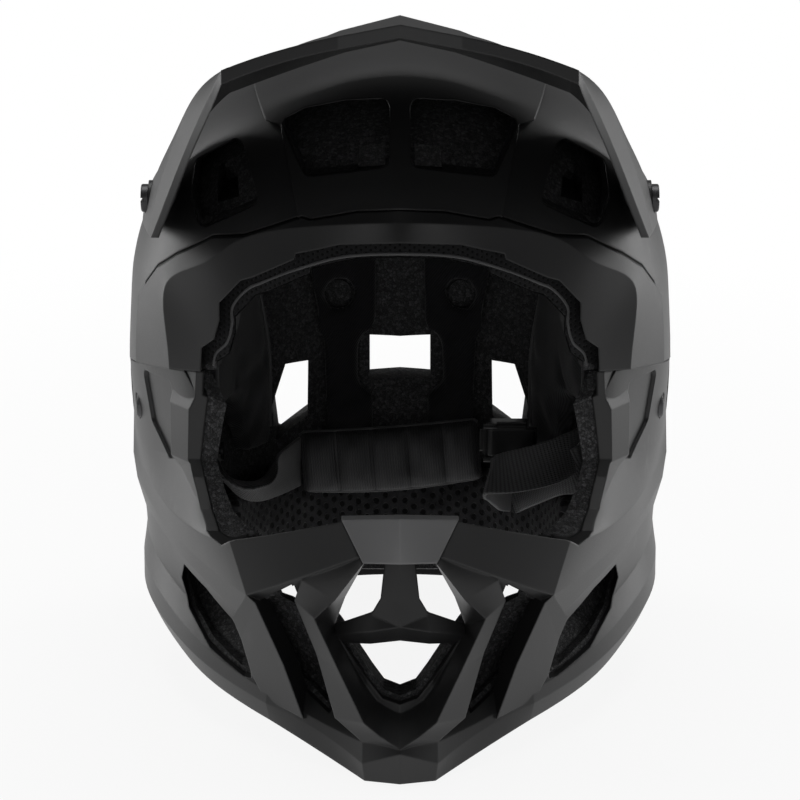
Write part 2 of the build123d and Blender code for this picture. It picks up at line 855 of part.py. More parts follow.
star_arm_up_shares = [
    [(-0.05, 0.945, 0.85), (0.0, 0.962, 0.85), (0.05, 0.945, 0.85), (0.0, 0.915, 0.85)],
    [(-0.066, 0.945, 0.69), (0.0, 0.968, 0.68), (0.066, 0.945, 0.69), (0.0, 0.91, 0.69)],
    [(-0.10, 0.934, 0.62), (0.0, 0.973, 0.593), (0.10, 0.934, 0.62), (0.0, 0.90, 0.60)],
]
star_arm_side_shares = [
    [(0.0, 0.935, 0.70), (0.0, 0.973, 0.593), (0.0, 0.934, 0.52), (0.0, 0.89, 0.60)],
    [(0.10, 0.934, 0.63), (0.10, 0.945, 0.56), (0.10, 0.92, 0.50), (0.09, 0.885, 0.56)],
    [(0.222, 0.89, 0.56), (0.222, 0.90, 0.525), (0.222, 0.885, 0.485), (0.20, 0.87, 0.525)],
]


@functools.cache
def star_arms():
    """The three arms in the mouth opening."""
    up = strut([placed(row) for row in star_arm_up_shares])
    side = strut([placed(row) for row in star_arm_side_shares])
    return up + side + mirrored(side)


def make_star():
    """The three armed grille that stands in the mouth opening."""
    return largest(star_arms() - frame_solid())


# The energy absorbing liners

foam_gap = 0.4
foam_front_wall = 27.0
vent_floor = 12.0  # how deep the foam lies at the bottom of a vent
port_step = 5.5  # how far the foam reaches into the eye port past the frame
chin_foam_depth = 18.0
foot_rise = 1.5  # the chin foam ends this high above the ground
post_foam_shares = [1, 1, 1, 1, 0.58, 0.58, 0.85, 1]  # how much of its depth the posts have
window_step = 2.2  # how far the chin foam reaches into each window
pocket_depth = 11.0  # how deep the foam lies behind the side and slot vents
# the small way through the foam at the top of a slot vent
slot_way_shares = [(0.425, 0.665), (0.372, 0.70), (0.352, 0.64), (0.362, 0.585), (0.41, 0.61)]
# small holes through the foam in the middle of the two brow vents
brow_hole_shares = [(0.05, 0.80), (0.15, 0.798), (0.14, 0.86), (0.05, 0.865)]
crown_hole_shares = [(0.30, 0.26), (0.42, 0.20), (0.43, 0.02), (0.32, 0.02)]
temple_hole_shares = [(0.56, 0.78), (0.64, 0.765), (0.65, 0.81), (0.58, 0.83)]


def foam_holes():
    """The tools for the air ways through the foam behind the vents."""
    width, height = shell_half_width, shell_height
    tools = []
    for shares in (brow_hole_shares, temple_hole_shares):
        tools.append(front_prism(across(shares, width, height), 0, far))
    top = across(crown_hole_shares, width, shell_front)
    tools.append(top_prism(top, head_height, shell_height + overrun))
    for shares in (nape_vent_shares, side_exhaust_shares):
        outline = grown(across(shares, width, height), -window_step)
        tools.append(front_prism(outline, -far, 0))
    tools = tools + [mirrored(t) for t in tools]
    middle = as_drawn(across(list(reversed(middle_exhaust_shares)), width, height))
    tools.append(front_prism(grown(middle, -window_step), -far, 0))
    return tools


def make_foam():
    """The foam liner of the dome, hollow for the head, with pockets behind the vents."""
    outer = dome(shell_wall + foam_gap)
    for tool in front_vents() + top_vents():
        outer = outer - tool
    foam = outer + dome(vent_floor)
    for tool in foam_holes():
        foam = foam - tool
    foam = foam - dome(foam_front_wall)
    foam = foam - chin_zone(seam_gap) - eye_port(-port_step) - below_rim(rim_lip)
    for side in (1, -1):
        foam = foam - receiver_room(side)
    return largest(foam)


def chin_foam_section(k):
    """The closed outline of the chin foam at a section."""
    outer = chin_inner(k, chin_wall + foam_gap)
    corners = chin_corners(k)
    inner = [moved_in(corner, k, chin_foam_depth) for corner in corners[CHIN_TOP + 1 :]]
    if k <= chin_kinks[-1]:
        x, reach, z = moved_in(corners[0], k, chin_wall)
        top = (x, reach, z - chin_wall - foam_gap)
        below = tuple((a + b) / 2 for a, b in zip(top, inner[0]))
    else:
        depth = chin_foam_depth * post_foam_shares[k]
        top = moved_in(corners[0], k, depth)
        below = moved_in(corners[1], k, depth)
    return [place(*corner) for corner in outer + list(reversed([top, below] + inner))]


def make_chin_foam():
    """The foam inside the chin guard."""
    half = [chin_foam_section(k) for k in range(len(chin_section_shares))]
    foam = swept_across(half, chin_kinks) & chin_zone(-2 * seam_gap)
    pocket = chin_layer(0, pocket_depth)
    for tool in chin_vents(-window_step):
        foam = foam - (tool & pocket)
    for tool in chin_vents(0, (slot_way_shares,)) + [mouth_window(-window_step)]:
        foam = foam - tool
    floor = Solid.make_box(2 * far, 4 * far, overrun, Plane(Vector(-far, -2 * far, foot_rise - overrun)))
    foam = foam - above_chin_foam() - frame_solid() - floor
    foam = foam - both_sides(rib_half()) - both_sides(mouthpiece_half(foam_gap))
    foam = foam - star_arms() - star_arms().moved(Location((0, foam_gap, 0)))
    for side in (1, -1):
        foam = foam - latch_room(side)
    return largest(foam)


def above_chin_foam():
    """The room above the chin foam."""
    return above_chin().moved(Location((0, 2 * foam_gap, -2 * foam_gap)))


def frame_solid():
    """The raised frame round the mouth, both halves."""
    return both_sides(strut([placed(row) for row in frame_shares]))


# The rubber edge of the shell

rim_lip = 3.2  # how high the rubber edge reaches up the shell
rim_drop = 4.5  # how far it goes below the shell's edge
rim_cover = 1.1  # its thickness over the shell
rim_fit = 0.1


def ground_block():
    """Everything below the ground."""
    return Solid.make_box(2 * far, 4 * far, overrun, Plane(Vector(-far, -2 * far, -overrun)))


def make_rim():
    """The rubber edge along the bottom of the shell."""
    edge = dome(-rim_cover) - dome(shell_wall + rim_cover)
    edge = edge & below_rim(rim_lip)
    edge = edge - below_rim(-rim_drop) - chin_zone(seam_gap) - ground_block()
    groove = (dome(-rim_fit) - dome(shell_wall + rim_fit)) - below_rim(-rim_fit)
    return largest(edge - groove)


# The chin guard's latches

latch_z = 110.0
tongue_height = 12.0
tongue_wall = 3.0
tongue_x = 98.5  # the inner face of the tongue
tongue_front = 26.0
tongue_back = -15.0
receiver_back = -22.0
receiver_height = 24.0
receiver_wall = 2.5
button_reach = 35.0
button_face_x = 105.0  # the side panel's surface at the button
button_radius = 5.0
button_proud = 1.3
button_fit = 0.3
button_travel = 2.5
stem_radius = 2.2
stem_length = 9.0
flange_radius = 6.0
flange_wall = 1.2
flange_depth = 6.4  # from the side panel's surface in to the flange that holds the button


def box_between(low, high):
    """A box between two corners given as sideways place, reach and height."""
    x_low, x_high = sorted((low[0], high[0]))
    r_low, r_high = sorted((low[1], high[1]))
    z_low, z_high = sorted((low[2], high[2]))
    corner = place(x_low, r_high, z_low)
    return Solid.make_box(x_high - x_low, r_high - r_low, z_high - z_low, Plane(corner))


def tongue_box(side, grow):
    """The bounds of a tongue, enlarged by grow."""
    half = tongue_height / 2 + grow
    low = (side * (tongue_x - grow), tongue_back - grow, latch_z - half)
    high = (side * (tongue_x + tongue_wall + grow), tongue_front, latch_z + half)
    return box_between(low, high)


def receiver_block(side, grow):
    """The body of a receiver in the shell."""
    half = receiver_height / 2 + grow
    low = (side * (tongue_x - receiver_wall - grow), receiver_back - grow, latch_z - half)
    high = (side * (shell_half_width + overrun), split_rear - seam_gap, latch_z + half)
    return box_between(low, high)


def receiver_room(side):
    """The room that the foam leaves for a receiver."""
    return receiver_block(side, foam_gap)


def make_receiver(side):
    """The receiver that a tongue enters, fixed inside the shell."""
    block = receiver_block(side, 0) & dome(shell_wall + foam_gap)
    return largest(block - tongue_box(side, seam_gap))


def make_tongue(side):
    """The tongue of the chin guard, with its foot against the inside of the side panel."""
    half = tongue_height / 2
    foot = box_between(
        (side * tongue_x, split_rear + 2 * seam_gap, latch_z - half),
        (side * far, tongue_front, latch_z + half),
    )
    tongue = tongue_box(side, 0) + foot
    return largest((tongue & near_side(side)) - chin_layer(0, chin_wall + foam_gap))


def near_side(side):
    """The half space on one side, inside the chin guard's wall."""
    half = tongue_height / 2
    low = (side * overrun, tongue_back, latch_z - half)
    high = (side * (shell_half_width - chin_wall), tongue_front, latch_z + half)
    return box_between(low, high)


def button_axis(side, depth):
    """A plane across the button's axis, depth inwards from the side panel's surface."""
    x = side * (button_face_x - depth)
    return Plane(place(x, button_reach, latch_z), z_dir=(-side, 0, 0))


def button_room(side):
    """The hole for a button through the side panel."""
    radius = button_radius + button_fit
    return Solid.make_cylinder(radius, 3 * button_radius, button_axis(side, -button_radius))


def latch_room(side):
    """The room that the chin foam leaves for tongue, button and spring."""
    half = tongue_height / 2 + foam_gap
    low = (side * (tongue_x - foam_gap), split_rear - overrun, latch_z - half)
    high = (side * far, tongue_front + foam_gap, latch_z + half)
    depth = flange_depth + stem_length + button_travel + foam_gap
    outside = button_axis(side, -overrun / 4)
    bore = Solid.make_cylinder(flange_radius + foam_gap, depth + overrun / 4, outside)
    return box_between(low, high) + bore


def make_button(side):
    """A release button: a round cap on a stem."""
    cap = Solid.make_cylinder(
        button_radius, flange_depth + button_proud, button_axis(side, -button_proud)
    )
    flange = Solid.make_cylinder(flange_radius, flange_wall, button_axis(side, flange_depth))
    stem = Solid.make_cylinder(stem_radius, stem_length, button_axis(side, flange_depth))
    rim = cap.edges().filter_by(GeomType.CIRCLE).sort_by(Axis.X)[-1 if side > 0 else 0]
    return cap.fillet(button_proud / 2, [rim]) + flange + stem


# The visor's pivots

pivot_reach = 52.0
pivot_z = 197.0
boss_radius = 7.0
boss_inner = 84.0  # sideways place where a boss starts, inside the shell's surface
boss_outer = 94.2
ear_inner = 94.5  # the visor's pad lies between these two
ear_outer = 98.6
screw_face = 98.9
screw_radius = 5.5
screw_head = 2.8
screw_slot = 1.4
shank_radius = 2.5
shank_inner = 88.0
running_fit = 0.06


def along_x(radius, x_low, x_high, reach, z, side):
    """A cylinder along X on one side."""
    plane = Plane(place(side * x_low, reach, z), z_dir=(side, 0, 0))
    return Solid.make_cylinder(radius, x_high - x_low, plane)


def pivot_bore(side):
    """The bore for a pivot screw."""
    radius = shank_radius + running_fit
    return along_x(radius, boss_inner - overrun / 4, screw_face + overrun, pivot_reach, pivot_z, side)


def make_boss(side):
    """The boss on the shell that a pivot screw turns in."""
    boss = along_x(boss_radius, boss_inner, boss_outer, pivot_reach, pivot_z, side)
    return largest(boss - dome(-seam_gap / 4) - pivot_bore(side))


def make_screw(side):
    """A slotted thumb screw on which the visor turns."""
    head = along_x(screw_radius, screw_face, screw_face + screw_head, pivot_reach, pivot_z, side)
    rim = head.edges().filter_by(GeomType.CIRCLE).sort_by(Axis.X)[-1 if side > 0 else 0]
    head = head.fillet(screw_head / 4, [rim])
    shank = along_x(shank_radius, shank_inner, screw_face + screw_head / 2, pivot_reach, pivot_z, side)
    half = screw_slot / 2
    slot = box_between(
        (side * (screw_face + screw_head / 2), pivot_reach - screw_radius, pivot_z - half),
        (side * far, pivot_reach + screw_radius, pivot_z + half),
    )
    return head + shank - slot


def make_whole_visor():
    """The visor with its two pivot pads and their bores."""
    visor = make_visor()
    for side in (1, -1):
        ear = along_x(boss_radius, ear_inner, ear_outer, pivot_reach, pivot_z, side)
        visor = visor + (ear - dome(-seam_gap))
    for side in (1, -1):
        head = along_x(screw_radius + foam_gap, ear_outer, far, pivot_reach, pivot_z, side)
        inner = along_x(boss_radius + foam_gap, boss_inner, ear_inner, pivot_reach, pivot_z, side)
        visor = visor - pivot_bore(side) - head - inner
    return largest(visor)


# The pads inside the foam

pad_seat = foam_front_wall + foam_gap
brow_pad_depth = 7.0
brow_pad_rear = 22.0  # reach of the brow pad's rear edge
side_pad_depth = 9.0
rear_pad_depth = 8.5
neck_pad_depth = 12.0
snap_radius = 5.2
snap_height = 2.2
dimple_radius = 6.2
# seen from the front, as shares of the shell's half width and height
brow_pad_shares = [
    (0.0, 0.83),
    (0.52, 0.80),
    (0.76, 0.72),
    (0.76, 0.53),
    (0.63, 0.53),
    (0.595, 0.584),
    (0.52, 0.634),
    (0.405, 0.69),
    (0.27, 0.717),
    (0.0, 0.724),
]
rear_pad_shares = [
    (0.085, 0.655),
    (0.085, 0.46),
    (0.155, 0.44),
    (0.155, 0.36),
    (0.10, 0.34),
    (0.10, 0.25),
    (0.30, 0.25),
    (0.32, 0.44),
    (0.40, 0.66),
]
# seen from the side, as shares of the shell's front and height
side_pad_shares = [
    (0.15, 0.52),
    (0.16, 0.39),
    (0.05, 0.375),
    (-0.22, 0.375),
    (-0.36, 0.27),
    (-0.50, 0.27),
    (-0.535, 0.42),
    (-0.47, 0.56),
    (-0.38, 0.70),
    (0.0, 0.71),
    (0.13, 0.64),
]
neck_pad_shares = [
    (-0.12, 0.23),
    (-0.12, 0.155),
    (-0.40, 0.095),
    (-0.70, 0.05),
    (-1.2, 0.045),
    (-1.2, 0.215),
    (-0.50, 0.225),
]
snap_x_share = 0.243
snap_z_share = 0.52
pad_corner = 2.4


@functools.cache
def pad_layer(depth):
    """The room of a pad of this depth all over the inside of the foam."""
    return dome(pad_seat) - dome(pad_seat + depth)


def make_brow_pad():
    """The pad across the forehead."""
    outline = as_drawn(across(brow_pad_shares, shell_half_width, shell_height))
    return largest(pad_layer(brow_pad_depth) & front_prism(outline, brow_pad_rear, far, pad_corner))


def rear_reach(x, z, inset):
    """Reach of the back of the dome at a sideways place and height, drawn in by inset."""
    width, _, rear = level_at(z)
    width = width * (shell_half_width - inset) / shell_half_width
    rear = rear * (shell_rear - inset) / shell_rear
    return -rear * (1 - (abs(x) / width) ** SQUARENESS) ** (1 / SQUARENESS)


def snap_cylinder(side, radius, back, length):
    """A cylinder along Y at a rear pad's snap, from so far behind the foam's surface."""
    x, z = side * snap_x_share * shell_half_width, snap_z_share * shell_height
    start = place(x, rear_reach(x, z, foam_front_wall) - back, z)
    return Solid.make_cylinder(radius, length, Plane(start, z_dir=(0, -1, 0)))


def make_rear_pad(side):
    """A pad on the back wall, with a round hollow for its snap."""
    outline = [(side * x, z) for x, z in across(rear_pad_shares, shell_half_width, shell_height)]
    pad = pad_layer(rear_pad_depth) & front_prism(outline, -far, -shell_rear / 4, pad_corner)
    hollow = snap_cylinder(side, dimple_radius, overrun / 4, overrun)
    return largest(pad - hollow)


def make_snaps():
    """The two round snaps on the foam behind the rear pads."""
    foam = dome(0) - dome(foam_front_wall)
    snaps = [snap_cylinder(side, snap_radius, snap_height, 2 * snap_height) for side in (-1, 1)]
    return Compound(children=[largest(snap - foam) for snap in snaps])


def make_side_pad(side):
    """A pad beside the ear and cheek."""
    low, high = sorted((0.0, side * far))
    outline = across(side_pad_shares, shell_front, shell_height)
    return largest(pad_layer(side_pad_depth) & side_prism(outline, low, high, pad_corner))


def make_neck_pad():
    """The pad low round the back of the neck."""
    outline = across(neck_pad_shares, shell_front, shell_height)
    return largest(pad_layer(neck_pad_depth) & side_prism(outline, -far, far))


# The straps

strap_wall = 1.8
strap_width = 22.0
web_width = 19.0
anchor_height = 13.0
anchor_wall = 2.0
anchor_reach = -4.0
anchor_length = 20.0
anchor_x = 78.0
anchor_z = 82.0
rivet_radius = 4.0
rivet_head = 1.2
rivet_shank = 1.6
rivet_stack = 3.0  # from the anchor plate to the underside of the rivet's head
pad_thick = 10.0
pad_seam = 5.0
pad_width = 29.0
channel_count = 4
# the middle of a strap, as shares of half width, front and height
left_strap_shares = [
    (-0.69, -0.085, 0.325),
    (-0.69, -0.03, 0.319),
    (-0.687, 0.02, 0.311),
    (-0.672, 0.058, 0.30),
    (-0.64, 0.07, 0.285),
    (-0.60, 0.03, 0.268),
    (-0.54, -0.08, 0.25),
    (-0.47, -0.27, 0.238),
    (-0.421, -0.455, 0.238),
]
right_web_shares = [
    (0.69, -0.085, 0.325),
    (0.69, -0.03, 0.319),
    (0.687, 0.015, 0.312),
    (0.672, 0.045, 0.304),
    (0.64, 0.045, 0.294),
    (0.595, -0.01, 0.285),
    (0.53, -0.15, 0.254),
    (0.47, -0.265, 0.228),
    (0.42, -0.30, 0.215),
]
strap_pad_left = (-0.41, -0.46, 0.238)
strap_pad_right = (0.32, -0.44, 0.265)


def on_strap(shares):
    """A point of a strap from its shares."""
    x, reach, z = shares
    return place(x * shell_half_width, reach * shell_front, z * shell_height)


def ribbon(shares, width, wall):
    """A flat strap that stands on its edge along a run of points."""
    points = [on_strap(row) for row in shares]
    sections = []
    for i, point in enumerate(points):
        before, after = points[max(0, i - 1)], points[min(len(points) - 1, i + 1)]
        along = (after - before).normalized()
        side = along.cross(Vector(0, 0, 1)).normalized()
        up = side.cross(along).normalized()
        a, b = side * (wall / 2), up * (width / 2)
        sections.append([point + a + b, point - a + b, point - a - b, point + a - b])
    return swept(sections)


def make_left_strap():
    """The strap from the left anchor to the padded cover."""
    return ribbon(left_strap_shares, strap_width, strap_wall) - rivet_bore(-1)


def make_right_web():
    """The webbing from the right anchor to the buckle."""
    return ribbon(right_web_shares, web_width, strap_wall) - rivet_bore(1)


def cover_section(center, thick, width):
    """Eight corners of the padded cover across its length."""
    flat_share, round_share = 0.3, 0.42
    a, b = thick / 2, width / 2
    corners = [
        (a, b * round_share),
        (a * flat_share, b),
        (-a * flat_share, b),
        (-a, b * round_share),
        (-a, -b * round_share),
        (-a * flat_share, -b),
        (a * flat_share, -b),
        (a, -b * round_share),
    ]
    return [center + Vector(0, y, z) for y, z in corners]


def make_strap_cover():
    """The padded cover of the chin strap, with its sewn channels."""
    start, end = on_strap(strap_pad_left), on_strap(strap_pad_right)
    steps = 2 * channel_count
    sections = []
    for i in range(steps + 1):
        center = start + (end - start) * (i / steps)
        sections.append(cover_section(center, pad_thick if i % 2 else pad_seam, pad_width))
    return swept(sections)


def rivet_bore(side):
    """The hole for a strap's rivet through strap and anchor plate."""
    radius = rivet_shank + running_fit
    return along_x(radius, anchor_x - overrun / 6, anchor_x + overrun / 6, anchor_reach, anchor_z, side)


def make_anchor(side):
    """The plate that holds a strap's end against the foam."""
    x = side * anchor_x
    plate = box_between(
        (x, anchor_reach - anchor_length / 2, anchor_z - anchor_height / 2),
        (x + side * anchor_wall, anchor_reach + anchor_length / 2, anchor_z + anchor_height / 2),
    )
    corners = plate.edges().filter_by(Axis.X)
    return plate.fillet(anchor_height / 4, corners) - rivet_bore(side)


def make_rivet(side):
    """The rivet through a strap's end and its anchor plate."""
    face = anchor_x - rivet_stack
    head = along_x(rivet_radius, face - rivet_head, face, anchor_reach, anchor_z, side)
    shank = along_x(rivet_shank, face, anchor_x + anchor_wall, anchor_reach, anchor_z, side)
    return head + shank


# The buckle of the chin strap

buckle_x = 36.0
buckle_length = 19.0
buckle_reach = -54.0
buckle_depth = 7.0
buckle_z = 68.0
buckle_height = 17.0
ladder_wall = 2.2
ladder_height = 10.0
ladder_overhang = 4.5
ladder_tooth = 1.2
ladder_teeth = 3
pin_radius = 1.1
lever_wall = 2.4
ear_wall = 2.2
ear_length = 6.0
lever_out = 1.9  # how far the pin lies in front of the body


def buckle_box(low, high):
    """A box between two corners, given as distances from the buckle's own corner."""
    x, reach, z = buckle_x, buckle_reach, buckle_z
    return box_between(
        (x + low[0], reach + low[1], z + low[2]),
        (x + high[0], reach + high[1], z + high[2]),
    )


def pin_axis(x_out):
    """The plane at the foot of the lever's pin."""
    ear_mid = ear_length / 2
    return Plane(place(buckle_x + ear_mid, buckle_reach + buckle_depth + x_out, buckle_z))


def make_buckle():
    """The buckle's body, with a channel for the ladder and two ears for the lever."""
    body = buckle_box((0, 0, 0), (buckle_length, buckle_depth, buckle_height))
    gap = (buckle_height - ladder_height) / 2 - seam_gap
    back = (buckle_depth - ladder_wall) / 2 - seam_gap
    channel = buckle_box(
        (-overrun, back, gap), (overrun, buckle_depth - back, buckle_height - gap)
    )
    ear_top = buckle_depth + 2 * lever_out
    low_ear = buckle_box((0, 0, 0), (ear_length, ear_top, ear_wall))
    high_ear = buckle_box((0, 0, buckle_height - ear_wall), (ear_length, ear_top, buckle_height))
    pin_hole = Solid.make_cylinder(pin_radius, buckle_height, pin_axis(lever_out))
    return body + low_ear + high_ear - channel - pin_hole


def make_ladder():
    """The toothed strip that runs through the buckle."""
    low = (buckle_height - ladder_height) / 2
    back = (buckle_depth - ladder_wall) / 2
    strip = buckle_box(
        (-ladder_overhang / 3, back, low),
        (buckle_length + ladder_overhang, back + ladder_wall, low + ladder_height),
    )
    pitch = ladder_overhang / ladder_teeth
    for i in range(ladder_teeth - 1):
        x = buckle_length + ladder_tooth + i * pitch
        notch = buckle_box(
            (x, back + ladder_wall / 2, low + ladder_tooth),
            (x + pitch / 2, back + ladder_wall, low + ladder_height - ladder_tooth),
        )
        strip = strip - notch
    return strip


def make_lever():
    """The release lever of the buckle."""
    z_low, z_high = ear_wall + seam_gap, buckle_height - ear_wall - seam_gap
    barrel_plane = pin_axis(lever_out).offset(z_low)
    barrel = Solid.make_cylinder(lever_out - seam_gap, z_high - z_low, barrel_plane)
    front = buckle_depth + 2 * lever_out - seam_gap
    plate = buckle_box(
        (ear_length / 2, front - lever_wall, z_low), (buckle_length + lever_wall, front, z_high)
    )
    bore = Solid.make_cylinder(pin_radius + running_fit, buckle_height, pin_axis(lever_out))
    return barrel + plate - bore


def make_lever_pin():
    """The pin on which the lever turns."""
    return Solid.make_cylinder(pin_radius, buckle_height, pin_axis(lever_out))


NODES = {
    "outer_shell": make_shell,
    "brow_frame": make_brow,
    "chin_guard": make_chin_guard,
    "mouthpiece": make_mouthpiece,
    "visor": make_whole_visor,
    "visor_boss_left": lambda: make_boss(-1),
    "visor_boss_right": lambda: make_boss(1),
    "visor_screw_left": lambda: make_screw(-1),
    "visor_screw_right": lambda: make_screw(1),
    "star_grille": make_star,
    "foam_liner": make_foam,
    "chin_foam": make_chin_foam,
    "rim_trim": make_rim,
    "latch_receiver_left": lambda: make_receiver(-1),
    "latch_receiver_right": lambda: make_receiver(1),
    "latch_tongue_left": lambda: make_tongue(-1),
    "latch_tongue_right": lambda: make_tongue(1),
    "release_button_left": lambda: make_button(-1),
    "release_button_right": lambda: make_button(1),
    "brow_pad": make_brow_pad,
    "side_pad_left": lambda: make_side_pad(-1),
    "side_pad_right": lambda: make_side_pad(1),
    "rear_pad_left": lambda: make_rear_pad(-1),
    "rear_pad_right": lambda: make_rear_pad(1),
    "neck_pad": make_neck_pad,
    "pad_snaps": make_snaps,
    "strap_anchor_left": lambda: make_anchor(-1),
    "strap_anchor_right": lambda: make_anchor(1),
    "strap_rivet_left": lambda: make_rivet(-1),
    "strap_rivet_right": lambda: make_rivet(1),
    "chin_strap_left": make_left_strap,
    "chin_webbing_right": make_right_web,
    "strap_cover": make_strap_cover,
    "buckle_body": make_buckle,
    "buckle_ladder": make_ladder,
    "buckle_lever": make_lever,
    "buckle_pin": make_lever_pin,
}


def main():
    """Build every piece and write one file for each."""
    os.makedirs("parts", exist_ok=True)
    for name, maker in NODES.items():
        export_step(maker(), f"parts/{name}.step")


if __name__ == "__main__":
    main()
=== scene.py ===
"""A matt black full face bicycle helmet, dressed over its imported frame."""

import logging
import math
from dataclasses import dataclass
from enum import Enum
from typing import Sequence

import bmesh
import bpy
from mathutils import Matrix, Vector, noise
from mathutils.bvhtree import BVHTree


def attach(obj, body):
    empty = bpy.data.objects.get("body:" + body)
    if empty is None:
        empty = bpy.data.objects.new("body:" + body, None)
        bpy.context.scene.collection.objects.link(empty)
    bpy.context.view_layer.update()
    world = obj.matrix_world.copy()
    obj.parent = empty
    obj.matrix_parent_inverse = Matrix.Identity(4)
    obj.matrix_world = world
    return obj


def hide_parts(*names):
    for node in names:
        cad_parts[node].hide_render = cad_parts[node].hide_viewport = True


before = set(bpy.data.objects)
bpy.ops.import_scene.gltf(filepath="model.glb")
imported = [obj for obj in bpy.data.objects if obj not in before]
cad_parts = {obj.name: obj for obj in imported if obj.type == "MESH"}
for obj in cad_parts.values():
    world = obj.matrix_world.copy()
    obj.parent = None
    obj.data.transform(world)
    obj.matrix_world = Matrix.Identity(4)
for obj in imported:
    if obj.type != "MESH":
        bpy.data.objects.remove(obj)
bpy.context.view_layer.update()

NODES: dict[str, bpy.types.Object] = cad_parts
MM = 0.001
HEAD_Y = 38.5 * MM  # the head centre, behind the origin
LOG = logging.getLogger("helmet")


def spot(x: float, reach: float, z: float) -> Vector:
    """A point in metres from its sideways place, reach forward of the head centre and height.

    Args:
        x: Sideways place in millimetres.
        reach: Distance forward of the head centre in millimetres.
        z: Height in millimetres.

    Returns:
        The point in the frame.
    """
    return Vector((x * MM, HEAD_Y - reach * MM, z * MM))


class Side(Enum):
    """A side of the helmet as one looks at its face."""

    LEFT = -1
    RIGHT = 1

    @property
    def word(self) -> str:
        """The side's name in the nodes' names."""
        return self.name.lower()


# Finishes


class Graph:
    """The node graph of one material, with short calls to fill it."""

    def __init__(self, name: str) -> None:
        """Starts a material with its Principled shader.

        Args:
            name: Name of the material.
        """
        self.material = bpy.data.materials.new(name)
        self.material.use_nodes = True
        self.tree = self.material.node_tree
        self.shader = self.tree.nodes["Principled BSDF"]

    def add(self, kind: str, inputs: dict | None = None, **settings: object) -> bpy.types.Node:
        """Adds a node.

        Args:
            kind: The node's type without the ShaderNode in front.
            inputs: Values or sockets for its inputs, by name or number.
            settings: Its own settings.

        Returns:
            The node.
        """
        node = self.tree.nodes.new("ShaderNode" + kind)
        for key, value in settings.items():
            setattr(node, key, value)
        for key, value in (inputs or {}).items():
            self.put(value, node.inputs[key])
        return node

    def put(self, value: object, socket: bpy.types.NodeSocket) -> None:
        """Links a socket to another one, or sets its value."""
        if isinstance(value, bpy.types.NodeSocket):
            self.tree.links.new(value, socket)
        else:
            socket.default_value = value

    def math(self, operation: str, *values: object) -> bpy.types.NodeSocket:
        """The result of a Math node."""
        node = self.add("Math", dict(enumerate(values)), operation=operation)
        return node.outputs[0]

    def fit(self, value: object, low: float, high: float) -> bpy.types.NodeSocket:
        """A value from 0 to 1 spread between two others."""
        node = self.add("MapRange", {"Value": value, "To Min": low, "To Max": high})
        return node.outputs["Result"]

    def edge(self, value: object, low: float, high: float) -> bpy.types.NodeSocket:
        """A soft step from 0 at low to 1 at high."""
        node = self.add(
            "MapRange",
            {"Value": value, "From Min": low, "From Max": high},
            interpolation_type="SMOOTHSTEP",
        )
        return node.outputs["Result"]

    def mix(self, factor: object, first: object, second: object) -> bpy.types.NodeSocket:
        """A colour between two."""
        node = self.add("Mix", {"Factor": factor}, data_type="RGBA")
        self.put(first, node.inputs[6])
        self.put(second, node.inputs[7])
        return node.outputs[2]

    def noise(self, place: object, scale: float, detail: float = 2.0) -> bpy.types.NodeSocket:
        """Smooth noise at a scale per metre."""
        node = self.add("TexNoise", {"Vector": place, "Scale": scale, "Detail": detail})
        return node.outputs["Fac"]

    def place(self, stretch: Sequence[float] | None = None) -> bpy.types.NodeSocket:
        """The place on the object in metres, optionally stretched."""
        socket = self.add("TexCoord").outputs["Object"]
        if stretch is None:
            return socket
        return self.add("Mapping", {"Vector": socket, "Scale": tuple(stretch)}).outputs[0]

    def relief(
        self, height: object, depth: float, strength: float = 1.0, edge_radius: float = 0.0
    ) -> None:
        """Gives the shader a bump, over softly rounded edges where asked.

        Args:
            height: Socket with heights from 0 to 1.
            depth: Height of 1 in metres.
            strength: How much of it shows.
            edge_radius: Radius in metres with which sharp edges are shaded round.
        """
        bump = self.add("Bump", {"Height": height, "Distance": depth, "Strength": strength})
        if edge_radius:
            soft = self.add("Bevel", {"Radius": edge_radius}, samples=4)
            self.put(soft.outputs[0], bump.inputs["Normal"])
        self.put(bump.outputs[0], self.shader.inputs["Normal"])


